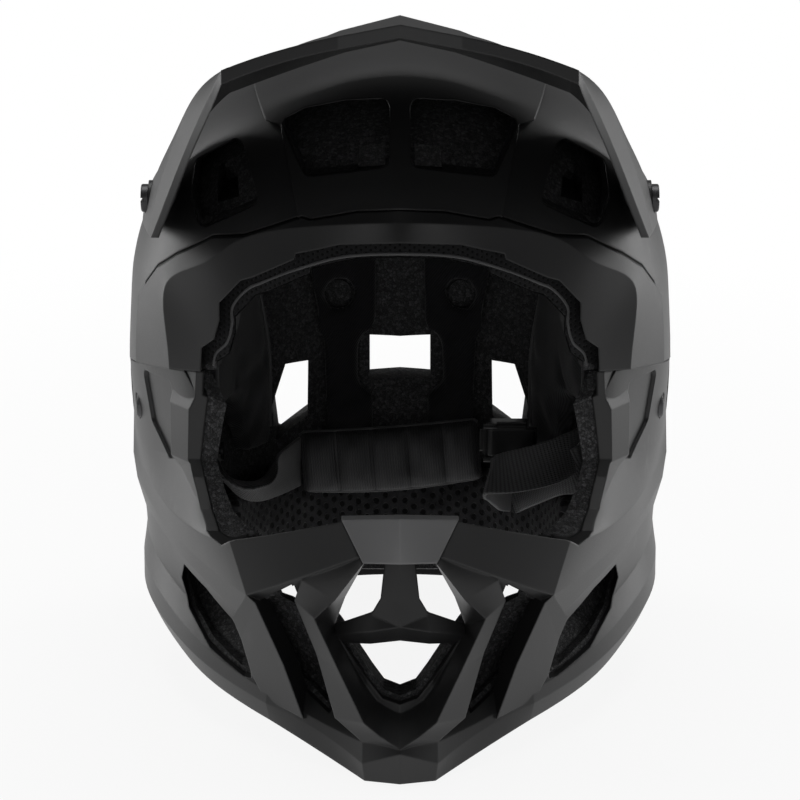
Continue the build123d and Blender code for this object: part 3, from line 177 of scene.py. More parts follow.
@dataclass(frozen=True)
class GrainedPlastic:
    """Moulded plastic or matt lacquer with a fine grain, faint streaks and worn spots."""

    name: str
    colour: tuple[float, float, float]
    roughness: float = 0.46
    grain: float = 2600.0  # grains per metre
    grain_depth: float = 0.00003
    wear: float = 0.35
    sheen: float = 0.0
    gloss: float = 0.45
    edge_radius: float = 0.001

    def build(self) -> bpy.types.Material:
        """Returns the material."""
        graph = Graph(self.name)
        place = graph.place()
        cloud = graph.noise(place, 14.0, 3.0)
        grain = graph.noise(place, self.grain, 2.0)
        scratch = graph.noise(graph.place((900.0, 60.0, 120.0)), 1.0, 2.0)
        rubbed = graph.math(
            "MULTIPLY",
            graph.edge(graph.noise(place, 55.0, 4.0), 0.58, 0.78),
            graph.edge(scratch, 0.45, 0.75),
        )
        dark = tuple(c * 0.86 for c in self.colour) + (1.0,)
        pale = tuple(c * 1.16 + 0.001 for c in self.colour) + (1.0,)
        worn = tuple(min(1.0, c * 1.5 + 0.006) for c in self.colour) + (1.0,)
        colour = graph.mix(cloud, dark, pale)
        graph.put(
            graph.mix(graph.math("MULTIPLY", rubbed, self.wear), colour, worn),
            graph.shader.inputs["Base Color"],
        )
        rough = graph.math("ADD", graph.fit(cloud, -0.05, 0.05), graph.fit(grain, -0.06, 0.06))
        rough = graph.math("ADD", rough, self.roughness)
        rough = graph.math("SUBTRACT", rough, graph.math("MULTIPLY", rubbed, self.wear * 0.2))
        graph.put(rough, graph.shader.inputs["Roughness"])
        graph.shader.inputs["Specular IOR Level"].default_value = self.gloss
        graph.shader.inputs["Sheen Weight"].default_value = self.sheen
        graph.relief(grain, self.grain_depth, 0.8, self.edge_radius)
        return graph.material


@dataclass(frozen=True)
class BeadFoam:
    """Pressed bead foam: flat beads of differing greys with thin dark joints."""

    name: str
    dark: float = 0.022
    pale: float = 0.17
    beads: float = 820.0  # beads per metre
    depth: float = 0.00016

    def build(self) -> bpy.types.Material:
        """Returns the material."""
        graph = Graph(self.name)
        place = graph.place()
        cells = graph.add("TexVoronoi", {"Vector": place, "Scale": self.beads})
        joints = graph.add(
            "TexVoronoi", {"Vector": place, "Scale": self.beads}, feature="DISTANCE_TO_EDGE"
        )
        joint = graph.edge(joints.outputs["Distance"], 0.0, 0.12)
        tone = graph.add("SeparateColor", {0: cells.outputs["Color"]}).outputs[0]
        tone = graph.math("POWER", tone, 2.2)
        speck = graph.edge(graph.noise(place, 1900.0, 2.0), 0.48, 0.72)
        tone = graph.math("MULTIPLY_ADD", speck, 0.5, graph.math("MULTIPLY", tone, 0.5))
        tone = graph.math("MULTIPLY", tone, graph.fit(joint, 0.35, 1.0))
        low = (self.dark, self.dark, self.dark * 1.04, 1.0)
        high = (self.pale, self.pale, self.pale * 1.03, 1.0)
        graph.put(graph.mix(tone, low, high), graph.shader.inputs["Base Color"])
        graph.put(graph.fit(tone, 0.78, 0.55), graph.shader.inputs["Roughness"])
        graph.shader.inputs["Specular IOR Level"].default_value = 0.35
        height = graph.math("MULTIPLY_ADD", speck, 0.25, joint)
        graph.relief(height, self.depth, 0.8)
        return graph.material


@dataclass(frozen=True)
class Webbing:
    """Woven tape: ribs across its length and a plain edge, laid out on the tape's UV in metres."""

    name: str
    colour: tuple[float, float, float]
    rib: float = 0.0013  # one rib along the length
    yarn: float = 0.0009  # one warp yarn across the width
    depth: float = 0.00022
    sheen: float = 0.3

    def build(self) -> bpy.types.Material:
        """Returns the material."""
        graph = Graph(self.name)
        coords = graph.add("SeparateXYZ", {0: graph.add("TexCoord").outputs["UV"]})
        along, side = coords.outputs[1], coords.outputs[0]
        wobble = graph.fit(graph.noise(graph.place(), 700.0), -0.35, 0.35)
        turn = graph.math("MULTIPLY_ADD", along, 2 * math.pi / self.rib, wobble)
        ribs = graph.math("ABSOLUTE", graph.math("SINE", graph.math("MULTIPLY", turn, 0.5)))
        lean = graph.math("MULTIPLY_ADD", side, 2 * math.pi / self.yarn, turn)
        yarns = graph.math("ABSOLUTE", graph.math("SINE", graph.math("MULTIPLY", lean, 0.5)))
        weave = graph.math("MULTIPLY_ADD", yarns, 0.4, graph.math("MULTIPLY", ribs, 0.6))
        dark = tuple(c * 0.35 for c in self.colour) + (1.0,)
        pale = tuple(min(1.0, c * 1.25) for c in self.colour) + (1.0,)
        cloud = graph.fit(graph.noise(graph.place(), 90.0, 3.0), 0.75, 1.1)
        tone = graph.math("MULTIPLY", weave, cloud)
        graph.put(graph.mix(tone, dark, pale), graph.shader.inputs["Base Color"])
        graph.put(graph.fit(weave, 0.85, 0.55), graph.shader.inputs["Roughness"])
        graph.shader.inputs["Sheen Weight"].default_value = self.sheen
        graph.shader.inputs["Sheen Roughness"].default_value = 0.5
        graph.relief(weave, self.depth, 1.0)
        return graph.material


@dataclass(frozen=True)
class TwillCloth:
    """Fine twill over soft foam, laid out on the piece's UV in metres."""

    name: str
    colour: tuple[float, float, float]
    pitch: float = 0.0014
    lean: float = 0.7
    depth: float = 0.00018
    sheen: float = 0.35

    def build(self) -> bpy.types.Material:
        """Returns the material."""
        graph = Graph(self.name)
        coords = graph.add("SeparateXYZ", {0: graph.add("TexCoord").outputs["UV"]})
        side, along = coords.outputs[0], coords.outputs[1]
        wobble = graph.fit(graph.noise(graph.place(), 500.0), -0.4, 0.4)
        turn = graph.math("MULTIPLY_ADD", along, self.lean, side)
        turn = graph.math("MULTIPLY_ADD", turn, 2 * math.pi / self.pitch, wobble)
        wale = graph.math("MULTIPLY_ADD", graph.math("SINE", turn), 0.5, 0.5)
        pick = graph.math("MULTIPLY", along, 4 * math.pi / self.pitch)
        pick = graph.math("MULTIPLY_ADD", graph.math("SINE", pick), 0.5, 0.5)
        weave = graph.math("MULTIPLY_ADD", pick, 0.3, graph.math("MULTIPLY", wale, 0.7))
        dark = tuple(c * 0.4 for c in self.colour) + (1.0,)
        pale = tuple(min(1.0, c * 1.4) for c in self.colour) + (1.0,)
        cloud = graph.fit(graph.noise(graph.place(), 60.0, 3.0), 0.7, 1.1)
        tone = graph.math("MULTIPLY", weave, cloud)
        graph.put(graph.mix(tone, dark, pale), graph.shader.inputs["Base Color"])
        graph.put(graph.fit(weave, 0.92, 0.7), graph.shader.inputs["Roughness"])
        graph.shader.inputs["Sheen Weight"].default_value = self.sheen
        graph.shader.inputs["Sheen Roughness"].default_value = 0.45
        graph.shader.inputs["Specular IOR Level"].default_value = 0.25
        graph.relief(weave, self.depth, 1.0)
        return graph.material


@dataclass(frozen=True)
class SpacerMesh:
    """Knitted spacer mesh: rows of small round holes on a hexagonal grid, on the UV in metres."""

    name: str
    colour: tuple[float, float, float]
    pitch: float = 0.0034
    depth: float = 0.0007
    sheen: float = 0.3
    hole: float = 0.45

    def build(self) -> bpy.types.Material:
        """Returns the material."""
        graph = Graph(self.name)
        coords = graph.add("SeparateXYZ", {0: graph.add("TexCoord").outputs["UV"]})
        u, v = coords.outputs[0], coords.outputs[1]
        turns = 2 * math.pi / self.pitch
        waves = []
        for angle in (0.0, math.pi / 3, 2 * math.pi / 3):
            part = graph.math("MULTIPLY", v, math.sin(angle) * turns)
            part = graph.math("MULTIPLY_ADD", u, math.cos(angle) * turns, part)
            waves.append(graph.math("COSINE", part))
        total = graph.math("ADD", graph.math("ADD", waves[0], waves[1]), waves[2])
        solid = graph.math("SUBTRACT", 1.0, graph.edge(total, self.hole, self.hole + 1.1))
        knit = graph.noise(graph.place(), 2200.0, 2.0)
        # the holes are the mesh's own pattern; their near-black colour is painted shade inside the
        # holes
        dark = tuple(c * 0.12 for c in self.colour) + (1.0,)
        pale = tuple(c * 1.1 for c in self.colour) + (1.0,)
        tone = graph.math("MULTIPLY", solid, graph.fit(knit, 0.55, 1.0))
        graph.put(graph.mix(tone, dark, pale), graph.shader.inputs["Base Color"])
        graph.put(graph.fit(solid, 0.95, 0.7), graph.shader.inputs["Roughness"])
        graph.shader.inputs["Sheen Weight"].default_value = self.sheen
        graph.shader.inputs["Sheen Roughness"].default_value = 0.5
        graph.shader.inputs["Specular IOR Level"].default_value = 0.25
        height = graph.math("MULTIPLY_ADD", knit, 0.15, solid)
        graph.relief(height, self.depth, 1.0)
        return graph.material


@dataclass(frozen=True)
class DarkMetal:
    """Black anodised metal, turned, with fine circular streaks worn on top."""

    name: str
    colour: tuple[float, float, float] = (0.05, 0.05, 0.052)
    roughness: float = 0.38

    def build(self) -> bpy.types.Material:
        """Returns the material."""
        graph = Graph(self.name)
        streak = graph.noise(graph.place((3000.0, 300.0, 300.0)), 1.0, 2.0)
        dark = tuple(c * 0.7 for c in self.colour) + (1.0,)
        pale = tuple(c * 1.5 for c in self.colour) + (1.0,)
        graph.put(graph.mix(streak, dark, pale), graph.shader.inputs["Base Color"])
        rough = graph.fit(streak, self.roughness - 0.08, self.roughness + 0.1)
        graph.put(rough, graph.shader.inputs["Roughness"])
        graph.shader.inputs["Metallic"].default_value = 0.7
        graph.relief(streak, 0.00002, 0.6)
        return graph.material


SHELL_LACQUER = GrainedPlastic("shell_lacquer", (0.014, 0.014, 0.0145), 0.42, gloss=0.42)
TRIM_PLASTIC = GrainedPlastic("trim_plastic", (0.013, 0.013, 0.0135), 0.46, 1900.0, 0.00004)
# mouthpiece plate: its pale grey base colour is painted highlight, standing in for the light its
# up-facing face catches
PLATE_PAINTED_HIGHLIGHT = GrainedPlastic("plate_plastic", (0.2, 0.2, 0.204), 0.3, gloss=0.8)
LATCH_PLASTIC = GrainedPlastic("latch_plastic", (0.012, 0.012, 0.012), 0.5, 1500.0, 0.00005)
# release buttons: their pale grey base colour is painted highlight, the glint seen on their faces
BUTTON_PAINTED_HIGHLIGHT = GrainedPlastic("button_plastic", (0.10, 0.10, 0.104), 0.35)
BUCKLE_PLASTIC = GrainedPlastic("buckle_plastic", (0.01, 0.01, 0.011), 0.2, gloss=0.6)
EDGE_RUBBER = GrainedPlastic("edge_rubber", (0.008, 0.008, 0.008), 0.62, 1200.0, 0.00005)
PIPING = GrainedPlastic("piping_cord", (0.06, 0.06, 0.062), 0.55, 1500.0, 0.00008, sheen=0.4)
FOAM = BeadFoam("bead_foam")
STRAP_TAPE = Webbing("strap_tape", (0.012, 0.012, 0.0132))
PALE_TAPE = Webbing("pale_tape", (0.13, 0.13, 0.134), rib=0.0018, depth=0.0003)
COVER_RIBS = Webbing("cover_ribs", (0.014, 0.014, 0.0154), rib=0.0011, yarn=0.0016, sheen=0.15)
PAD_TWILL = TwillCloth("pad_twill", (0.016, 0.016, 0.018), 0.0011, sheen=0.2)
BROW_MESH = SpacerMesh("brow_mesh", (0.011, 0.011, 0.012), 0.0018, 0.0003, sheen=0.1)
# neck mesh: the hole pattern is the mesh's own; its raised grey against near-black holes is
# painted highlight on the honeycomb's ridges
NECK_MESH_PAINTED_HIGHLIGHT = SpacerMesh("neck_mesh_painted_highlight", (0.05, 0.05, 0.053), 0.0042, 0.0014, sheen=0.3, hole=0.2)
SCREW_METAL = DarkMetal("screw_metal")


class Wardrobe:
    """Builds each finish once and puts it on pieces."""

    def __init__(self) -> None:
        """Starts with no finish built."""
        self.made: dict[str, bpy.types.Material] = {}

    def put(self, finish: object, *pieces: bpy.types.Object) -> None:
        """Gives pieces one finish.

        Args:
            finish: One of the finishes above.
            pieces: The objects to dress.
        """
        if finish.name not in self.made:
            self.made[finish.name] = finish.build()
        for piece in pieces:
            piece.data.materials.clear()
            piece.data.materials.append(self.made[finish.name])


WARDROBE = Wardrobe()


# Meshes

CORD_CORNERS = 8
# half of a tape's section from its edge over the front, as shares of half width and half wall
TAPE_FRONT = (
    (-1, 0), (-0.985, 0.7), (-0.94, 1), (-0.5, 0.94),
    (0, 0.92), (0.5, 0.94), (0.94, 1), (0.985, 0.7),
)
TAPE_SECTION = TAPE_FRONT + tuple((-s, -o) for s, o in TAPE_FRONT)


def new_piece(name: str, mesh: bpy.types.Mesh) -> bpy.types.Object:
    """Puts a mesh into the scene as a piece that rides on the shell.

    Args:
        name: Name of the piece.
        mesh: Its mesh.

    Returns:
        The object.
    """
    piece = bpy.data.objects.new(name, mesh)
    bpy.context.scene.collection.objects.link(piece)
    for face in mesh.polygons:
        face.use_smooth = True
    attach(piece, "shell")
    return piece


def settled(piece: bpy.types.Object) -> None:
    """Turns a piece's modifiers into its mesh."""
    graph = bpy.context.evaluated_depsgraph_get()
    mesh = bpy.data.meshes.new_from_object(piece.evaluated_get(graph))
    piece.modifiers.clear()
    piece.data = mesh
    for face in mesh.polygons:
        face.use_smooth = True


def smooth_line(points: Sequence[Vector], steps: int) -> list[Vector]:
    """A smooth line through points.

    Args:
        points: The points it passes.
        steps: Steps from one point to the next.

    Returns:
        The points of the line.
    """
    line = []
    for i in range(len(points) - 1):
        a, b, c, d = (points[min(max(k, 0), len(points) - 1)] for k in range(i - 1, i + 3))
        for s in range(steps):
            t = s / steps
            line.append(
                0.5
                * (
                    2 * b
                    + (c - a) * t
                    + (2 * a - 5 * b + 4 * c - d) * t * t
                    + (3 * b - a - 3 * c + d) * t**3
                )
            )
    return line + [points[-1].copy()]


def ring_mesh(name: str, rings: Sequence[Sequence[Vector]]) -> bpy.types.Mesh:
    """A capped mesh through rings of as many points each, with its UV in metres.

    Args:
        name: Name of the mesh.
        rings: The rings from one end to the other.

    Returns:
        The mesh.
    """
    count = len(rings[0])
    points = [tuple(p) for ring in rings for p in ring]
    faces = []
    for r in range(len(rings) - 1):
        for i in range(count):
            k = (i + 1) % count
            faces.append((r * count + i, r * count + k, (r + 1) * count + k, (r + 1) * count + i))
    faces.append(tuple(reversed(range(count))))
    faces.append(tuple((len(rings) - 1) * count + i for i in range(count)))
    mesh = bpy.data.meshes.new(name)
    mesh.from_pydata(points, [], faces)
    along = [0.0]
    for before, after in zip(rings, rings[1:]):
        along.append(along[-1] + (after[0] - before[0]).length)
    girth = [0.0]
    for i in range(count):
        girth.append(girth[-1] + (rings[0][(i + 1) % count] - rings[0][i]).length)
    layer = mesh.uv_layers.new(name="lay")
    for face in mesh.polygons:
        places = [v % count for v in face.vertices]
        closing = len(places) == 4 and places.count(0) == 2 and max(places) == count - 1
        for loop, vertex in zip(face.loop_indices, face.vertices):
            ring, i = divmod(vertex, count)
            if closing and i == 0:
                i = count
            layer.data[loop].uv = (girth[i], along[ring])
    bm = bmesh.new()
    bm.from_mesh(mesh)
    bmesh.ops.recalc_face_normals(bm, faces=bm.faces)
    bm.to_mesh(mesh)
    bm.free()
    return mesh


def tube(name: str, line: Sequence[Vector], radius: float) -> bpy.types.Object:
    """A round sewn cord along a line.

    Args:
        name: Name of the piece.
        line: The points it follows.
        radius: Its radius in metres.

    Returns:
        The piece.
    """
    angles = [2 * math.pi * k / CORD_CORNERS for k in range(CORD_CORNERS)]
    rings = []
    side = None
    for i, point in enumerate(line):
        along = (line[min(i + 1, len(line) - 1)] - line[max(i - 1, 0)]).normalized()
        side = along.orthogonal() if side is None else side - along * side.dot(along)
        side.normalize()
        up = along.cross(side)
        rings.append([point + radius * (side * math.cos(a) + up * math.sin(a)) for a in angles])
    piece = new_piece(name, ring_mesh(name, rings))
    WARDROBE.put(PIPING, piece)
    return piece


def tape_rings(
    line: Sequence[Vector], facing: Sequence[Vector], width: float, wall: float
) -> list[list[Vector]]:
    """Rings of a flat tape with round edges.

    Args:
        line: The middle of the tape.
        facing: For each point, the way in which the tape's width runs.
        width: Its width in metres.
        wall: Its thickness in metres.

    Returns:
        The rings.
    """
    rings = []
    for i, point in enumerate(line):
        along = (line[min(i + 1, len(line) - 1)] - line[max(i - 1, 0)]).normalized()
        side = (facing[i] - along * facing[i].dot(along)).normalized()
        out = along.cross(side)
        a, b = width / 2, wall / 2
        rings.append([point + side * (s * a) + out * (o * b) for s, o in TAPE_SECTION])
    return rings


def lay_round_head(mesh: bpy.types.Mesh, radius: float = 0.085) -> None:
    """Gives a mesh a UV in metres, laid round the head like a cylinder.

    Args:
        mesh: The mesh.
        radius: Distance at which one metre of UV is one metre.
    """
    layer = mesh.uv_layers.get("lay") or mesh.uv_layers.new(name="lay")
    for face in mesh.polygons:
        middle = math.atan2(face.center.x, -(face.center.y - HEAD_Y))
        for loop, vertex in zip(face.loop_indices, face.vertices):
            point = mesh.vertices[vertex].co
            angle = math.atan2(point.x, -(point.y - HEAD_Y))
            angle += 2 * math.pi * round((middle - angle) / (2 * math.pi))
            layer.data[loop].uv = (angle * radius, point.z)


# The hard parts


@dataclass
class HardParts:
    """Every moulded or turned piece keeps its shape from the frame and gets its finish."""

    lacquered: tuple[str, ...] = ("outer_shell", "visor", "chin_guard")
    trims: tuple[str, ...] = ("brow_frame", "star_grille", "visor_boss_left", "visor_boss_right")
    # the mouthpiece gets a pale base colour that is painted highlight
    plates: tuple[str, ...] = ("mouthpiece",)
    foams: tuple[str, ...] = ("foam_liner", "chin_foam", "pad_snaps")
    latches: tuple[str, ...] = (
        "latch_receiver_left",
        "latch_receiver_right",
        "latch_tongue_left",
        "latch_tongue_right",
        "strap_anchor_left",
        "strap_anchor_right",
    )
    buttons: tuple[str, ...] = ("release_button_left", "release_button_right")
    metals: tuple[str, ...] = (
        "visor_screw_left",
        "visor_screw_right",
        "strap_rivet_left",
        "strap_rivet_right",
        "buckle_pin",
    )
    buckles: tuple[str, ...] = ("buckle_body", "buckle_ladder", "buckle_lever")
    rubbers: tuple[str, ...] = ("rim_trim",)

    def dress(self) -> None:
        """Puts the finishes on the frame's nodes."""
        for names, finish in (
            (self.lacquered, SHELL_LACQUER),
            (self.trims, TRIM_PLASTIC),
            (self.plates, PLATE_PAINTED_HIGHLIGHT),
            (self.foams, FOAM),
            (self.latches, LATCH_PLASTIC),
            (self.buttons, BUTTON_PAINTED_HIGHLIGHT),
            (self.metals, SCREW_METAL),
            (self.buckles, BUCKLE_PLASTIC),
            (self.rubbers, EDGE_RUBBER),
        ):
            WARDROBE.put(finish, *(NODES[name] for name in names))
            LOG.info("dressed %s", ", ".join(names))


# The pads


@dataclass
class HeadPad:
    """A pad inside the foam: its solid is remeshed and filled by a short cloth run."""

    node: str
    finish: object
    fill: float = 0.6
    voxel: float = 0.004
    shrink: float = 0.0010
    pressure: float = 4.0
    cap: float = 0.006
    frames: int = 20
    middle_height: float = 0.138  # of the head, from which the pads swell inward
    height_share: float = 0.8  # how much the height counts in that

    def build(self) -> bpy.types.Object:
        """Makes the pad.

        Returns:
            The pad's object.
        """
        name = self.node + "_soft"
        mesh = NODES[self.node].data.copy()
        mesh.materials.clear()
        bm = bmesh.new()
        bm.from_mesh(mesh)
        bmesh.ops.remove_doubles(bm, verts=bm.verts, dist=0.00001)
        bm.to_mesh(mesh)
        bm.free()
        piece = new_piece(name, mesh)
        remesh = piece.modifiers.new("remesh", "REMESH")
        remesh.mode = "VOXEL"
        remesh.voxel_size = self.voxel
        settled(piece)
        self.draw_in(piece.data)
        self.swell(piece)
        sub = piece.modifiers.new("round", "SUBSURF")
        sub.levels = sub.render_levels = 1
        settled(piece)
        lay_round_head(piece.data)
        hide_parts(self.node)
        WARDROBE.put(self.finish, piece)
        LOG.info("made %s", name)
        return piece

    def draw_in(self, mesh: bpy.types.Mesh) -> None:
        """Moves the surface in along its normals, to leave room for the filling."""
        moves = [vertex.normal * self.shrink for vertex in mesh.vertices]
        for vertex, move in zip(mesh.vertices, moves):
            vertex.co -= move

    def swell(self, piece: bpy.types.Object) -> None:
        """Fills the pad by a cloth run with pressure and keeps it off the foam behind it."""
        before = [vertex.co.copy() for vertex in piece.data.vertices]
        cloth = piece.modifiers.new("cloth", "CLOTH")
        settings = cloth.settings
        settings.quality = 4
        settings.mass = 0.3
        settings.tension_stiffness = 15
        settings.bending_stiffness = 0.5
        settings.use_pressure = True
        settings.uniform_pressure_force = self.pressure
        settings.effector_weights.gravity = 0.0
        cloth.point_cache.frame_start = 1
        cloth.point_cache.frame_end = self.frames
        scene = bpy.context.scene
        for number in range(1, self.frames + 1):
            scene.frame_set(number)
        settled(piece)
        scene.frame_set(1)
        for vertex, start in zip(piece.data.vertices, before):
            move = vertex.co - start
            height = (start.z - self.middle_height) * self.height_share
            out = Vector((start.x, start.y - HEAD_Y, height)).normalized()
            outward = move.dot(out)
            if outward > 0:
                move -= out * outward
            if move.length > self.cap:
                move *= self.cap / move.length
            vertex.co = start + move


@dataclass
class Piping:
    """A sewn cord along the edge of a pad, laid on the pad's inner face."""

    name: str
    pad: bpy.types.Object
    outline: tuple[tuple[float, float], ...]  # reach and height, in millimetres
    way: Vector  # from the head centre to the pad
    radius: float = 0.0009
    sunk_share: float = 0.4  # of its radius
    steps: int = 10

    def build(self) -> None:
        """Makes the cord."""
        tree = BVHTree.FromObject(self.pad, bpy.context.evaluated_depsgraph_get())
        found = []
        for reach, z in self.outline:
            hit = tree.ray_cast(spot(0, reach, z), self.way)[0]
            if hit is not None:
                found.append(hit - self.way * (self.radius * self.sunk_share))
        tube(self.name, smooth_line(found, self.steps), self.radius)
        LOG.info("made %s", self.name)


@dataclass
class BrowCloth:
    """Mesh cloth that wraps the foam's edge round the eye port, with a cord along its front."""

    half_width: float = 0.076
    low: float = 0.139
    high: float = 0.193
    front: float = -0.026
    lift: float = 0.0005
    cord_radius: float = 0.0006
    cord_steps: int = 8
    clear_reach: float = 250.0  # in front of everything, in millimetres
    # seen from the front, in millimetres
    edge: tuple[tuple[float, float], ...] = (
        (71.2, 139), (70, 144), (65.5, 149), (63.6, 156), (63.2, 163), (57.5, 170), (52, 173),
        (36, 180), (20, 184.6), (0, 185.8),
    )

    def build(self) -> None:
        """Makes the cloth and its cord."""
        foam = NODES["foam_liner"].data
        points, faces, found = [], [], {}
        for face in foam.polygons:
            middle = face.center
            if abs(middle.x) > self.half_width or middle.y > self.front:
                continue
            if not self.low < middle.z < self.high:
                continue
            corners = []
            for vertex in face.vertices:
                key = (vertex, tuple(round(n, 1) for n in face.normal))
                if key not in found:
                    found[key] = len(points)
                    points.append(foam.vertices[vertex].co + face.normal * self.lift)
                corners.append(found[key])
            faces.append(corners)
        mesh = bpy.data.meshes.new("brow_cloth")
        mesh.from_pydata(points, [], faces)
        self.lay_flat(mesh)
        cloth = new_piece("brow_cloth", mesh)
        WARDROBE.put(BROW_MESH, cloth)
        self.cord()
        LOG.info("made brow_cloth")

    def lay_flat(self, mesh: bpy.types.Mesh) -> None:
        """Gives each face a UV in metres in the plane that it lies in."""
        layer = mesh.uv_layers.new(name="lay")
        for face in mesh.polygons:
            sizes = [abs(n) for n in face.normal]
            first, second = [k for k in range(3) if k != sizes.index(max(sizes))]
            for loop, vertex in zip(face.loop_indices, face.vertices):
                point = mesh.vertices[vertex].co
                layer.data[loop].uv = (point[first], point[second])

    def cord(self) -> None:
        """Makes the cord along the front edge of the foam."""
        graph = bpy.context.evaluated_depsgraph_get()
        tree = BVHTree.FromObject(NODES["foam_liner"], graph)
        whole = list(self.edge) + [(-x, z) for x, z in reversed(self.edge[:-1])]
        found = []
        for x, z in whole:
            hit = tree.ray_cast(spot(x, self.clear_reach, z), Vector((0, 1, 0)))[0]
            if hit is not None:
                found.append(hit - Vector((0, self.lift, 0)))
        tube("brow_cord", smooth_line(found, self.cord_steps), self.cord_radius)
        LOG.info("made brow_cord")


@dataclass
class Padding:
    """All the pads of the head, with their piping."""

    side_edge: tuple[tuple[float, float], ...] = (
        (14, 102), (16, 120), (15, 140), (13, 160), (0, 178),
        (-22, 177), (-44, 170), (-56, 145), (-63, 112), (-61, 80),
    )

    def build(self) -> None:
        """Makes every pad."""
        HeadPad("brow_pad", BROW_MESH, cap=0.003, voxel=0.003).build()
        BrowCloth().build()
        for side in Side:
            pad = HeadPad(f"side_pad_{side.word}", PAD_TWILL).build()
            way = Vector((side.value, 0, 0))
            Piping(f"side_piping_{side.word}", pad, self.side_edge, way).build()
            HeadPad(f"rear_pad_{side.word}", PAD_TWILL, voxel=0.003, cap=0.003).build()
        HeadPad("neck_pad", NECK_MESH_PAINTED_HIGHLIGHT, cap=0.005).build()


# The chin strap


@dataclass
class ChinStrap:
    """The strap from the left anchor, its padded cover and the tape from the right anchor."""

    left_route: tuple[tuple[float, float, float], ...] = (
        (-76.6, -11, 83.5), (-76.6, -4, 82), (-76.3, 2.6, 80), (-74.6, 7.5, 77), (-71, 9, 73.2),
        (-66.6, 3.9, 70.4), (-59.9, -10.4, 67), (-52.2, -35.1, 65), (-44, -59.2, 64.6),
    )
    left_turn: tuple[float, ...] = (0, 0.3, 0.7, 1.1, 1.35, 1.36, 1.2, 0.6, 0)
    right_route: tuple[tuple[float, float, float], ...] = (
        (76.6, -11, 83.5), (76.6, -4, 82), (76.3, 2, 80.2), (74.6, 5.9, 78), (71, 5.9, 75.6),
        (66, -1.3, 73.2), (58.8, -19.5, 65.4), (52.2, -34.5, 58.7), (47.5, -39.5, 55.4),
    )
    # the loose end: out of the buckle, forward, folded over and back to the side
    fold_route: tuple[tuple[float, float, float], ...] = (
        (47.6, -38, 56.5), (43.5, -24, 60.5), (40.5, -6, 67), (38.4, 8, 72.2), (37, 14.6, 74.6),
        (37.4, 17.8, 76.6), (40.5, 19.2, 77.6), (46, 19.8, 78.6), (55, 18.6, 80.2), (64, 14.5, 82),
        (71, 8, 83.8), (75.4, 0, 84.6), (76.6, -8, 84.8),
    )
    fold_turn: tuple[float, ...] = (
        0.0, 0.15, 0.4, 0.7, 0.8, 0.75, 0.65, 0.5, 0.4, 0.3, 0.2, 0.1, 0.0,
    )
    strap_width: float = 0.022
    tape_width: float = 0.019
    fold_share: float = 0.95  # of the tape's width, in its loose end
    fold_lean: float = 0.3
    wall: float = 0.0017
    steps: int = 8

    def build(self) -> None:
        """Makes straps and cover."""
        self.strap()
        self.tape()
        StrapCover().build()

    def run(self, route: Sequence[tuple[float, float, float]]) -> list[Vector]:
        """The smooth line through a route's points."""
        return smooth_line([spot(*p) for p in route], self.steps)

    def turns(self, angles: Sequence[float]) -> list[float]:
        """The angle in radians at each point of a smooth line."""
        return [t.x for t in smooth_line([Vector((a, 0, 0)) for a in angles], self.steps)]

    def strap(self) -> None:
        """The dark strap on the left, which turns as it comes forward."""
        line = self.run(self.left_route)
        facing = [Vector((0, -math.sin(t), math.cos(t))) for t in self.turns(self.left_turn)]
        mesh = ring_mesh("chin_strap_soft", tape_rings(line, facing, self.strap_width, self.wall))
        piece = new_piece("chin_strap_soft", mesh)
        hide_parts("chin_strap_left")
        WARDROBE.put(STRAP_TAPE, piece)
        LOG.info("made chin_strap_soft")

    def tape(self) -> None:
        """The paler tape on the right, folded back at its end."""
        line = self.run(self.right_route)
        facing = [Vector((0, 0, 1))] * len(line)
        mesh = ring_mesh("webbing_soft", tape_rings(line, facing, self.tape_width, self.wall))
        piece = new_piece("webbing_soft", mesh)
        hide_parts("chin_webbing_right")
        angles = self.turns(self.fold_turn)
        facing = [Vector((self.fold_lean * t, math.sin(t), math.cos(t))) for t in angles]
        width = self.tape_width * self.fold_share
        rings = tape_rings(self.run(self.fold_route), facing, width, self.wall)
        fold = new_piece("webbing_tail", ring_mesh("webbing_tail", rings))
        WARDROBE.put(PALE_TAPE, piece, fold)
        LOG.info("made webbing_soft and its tail")


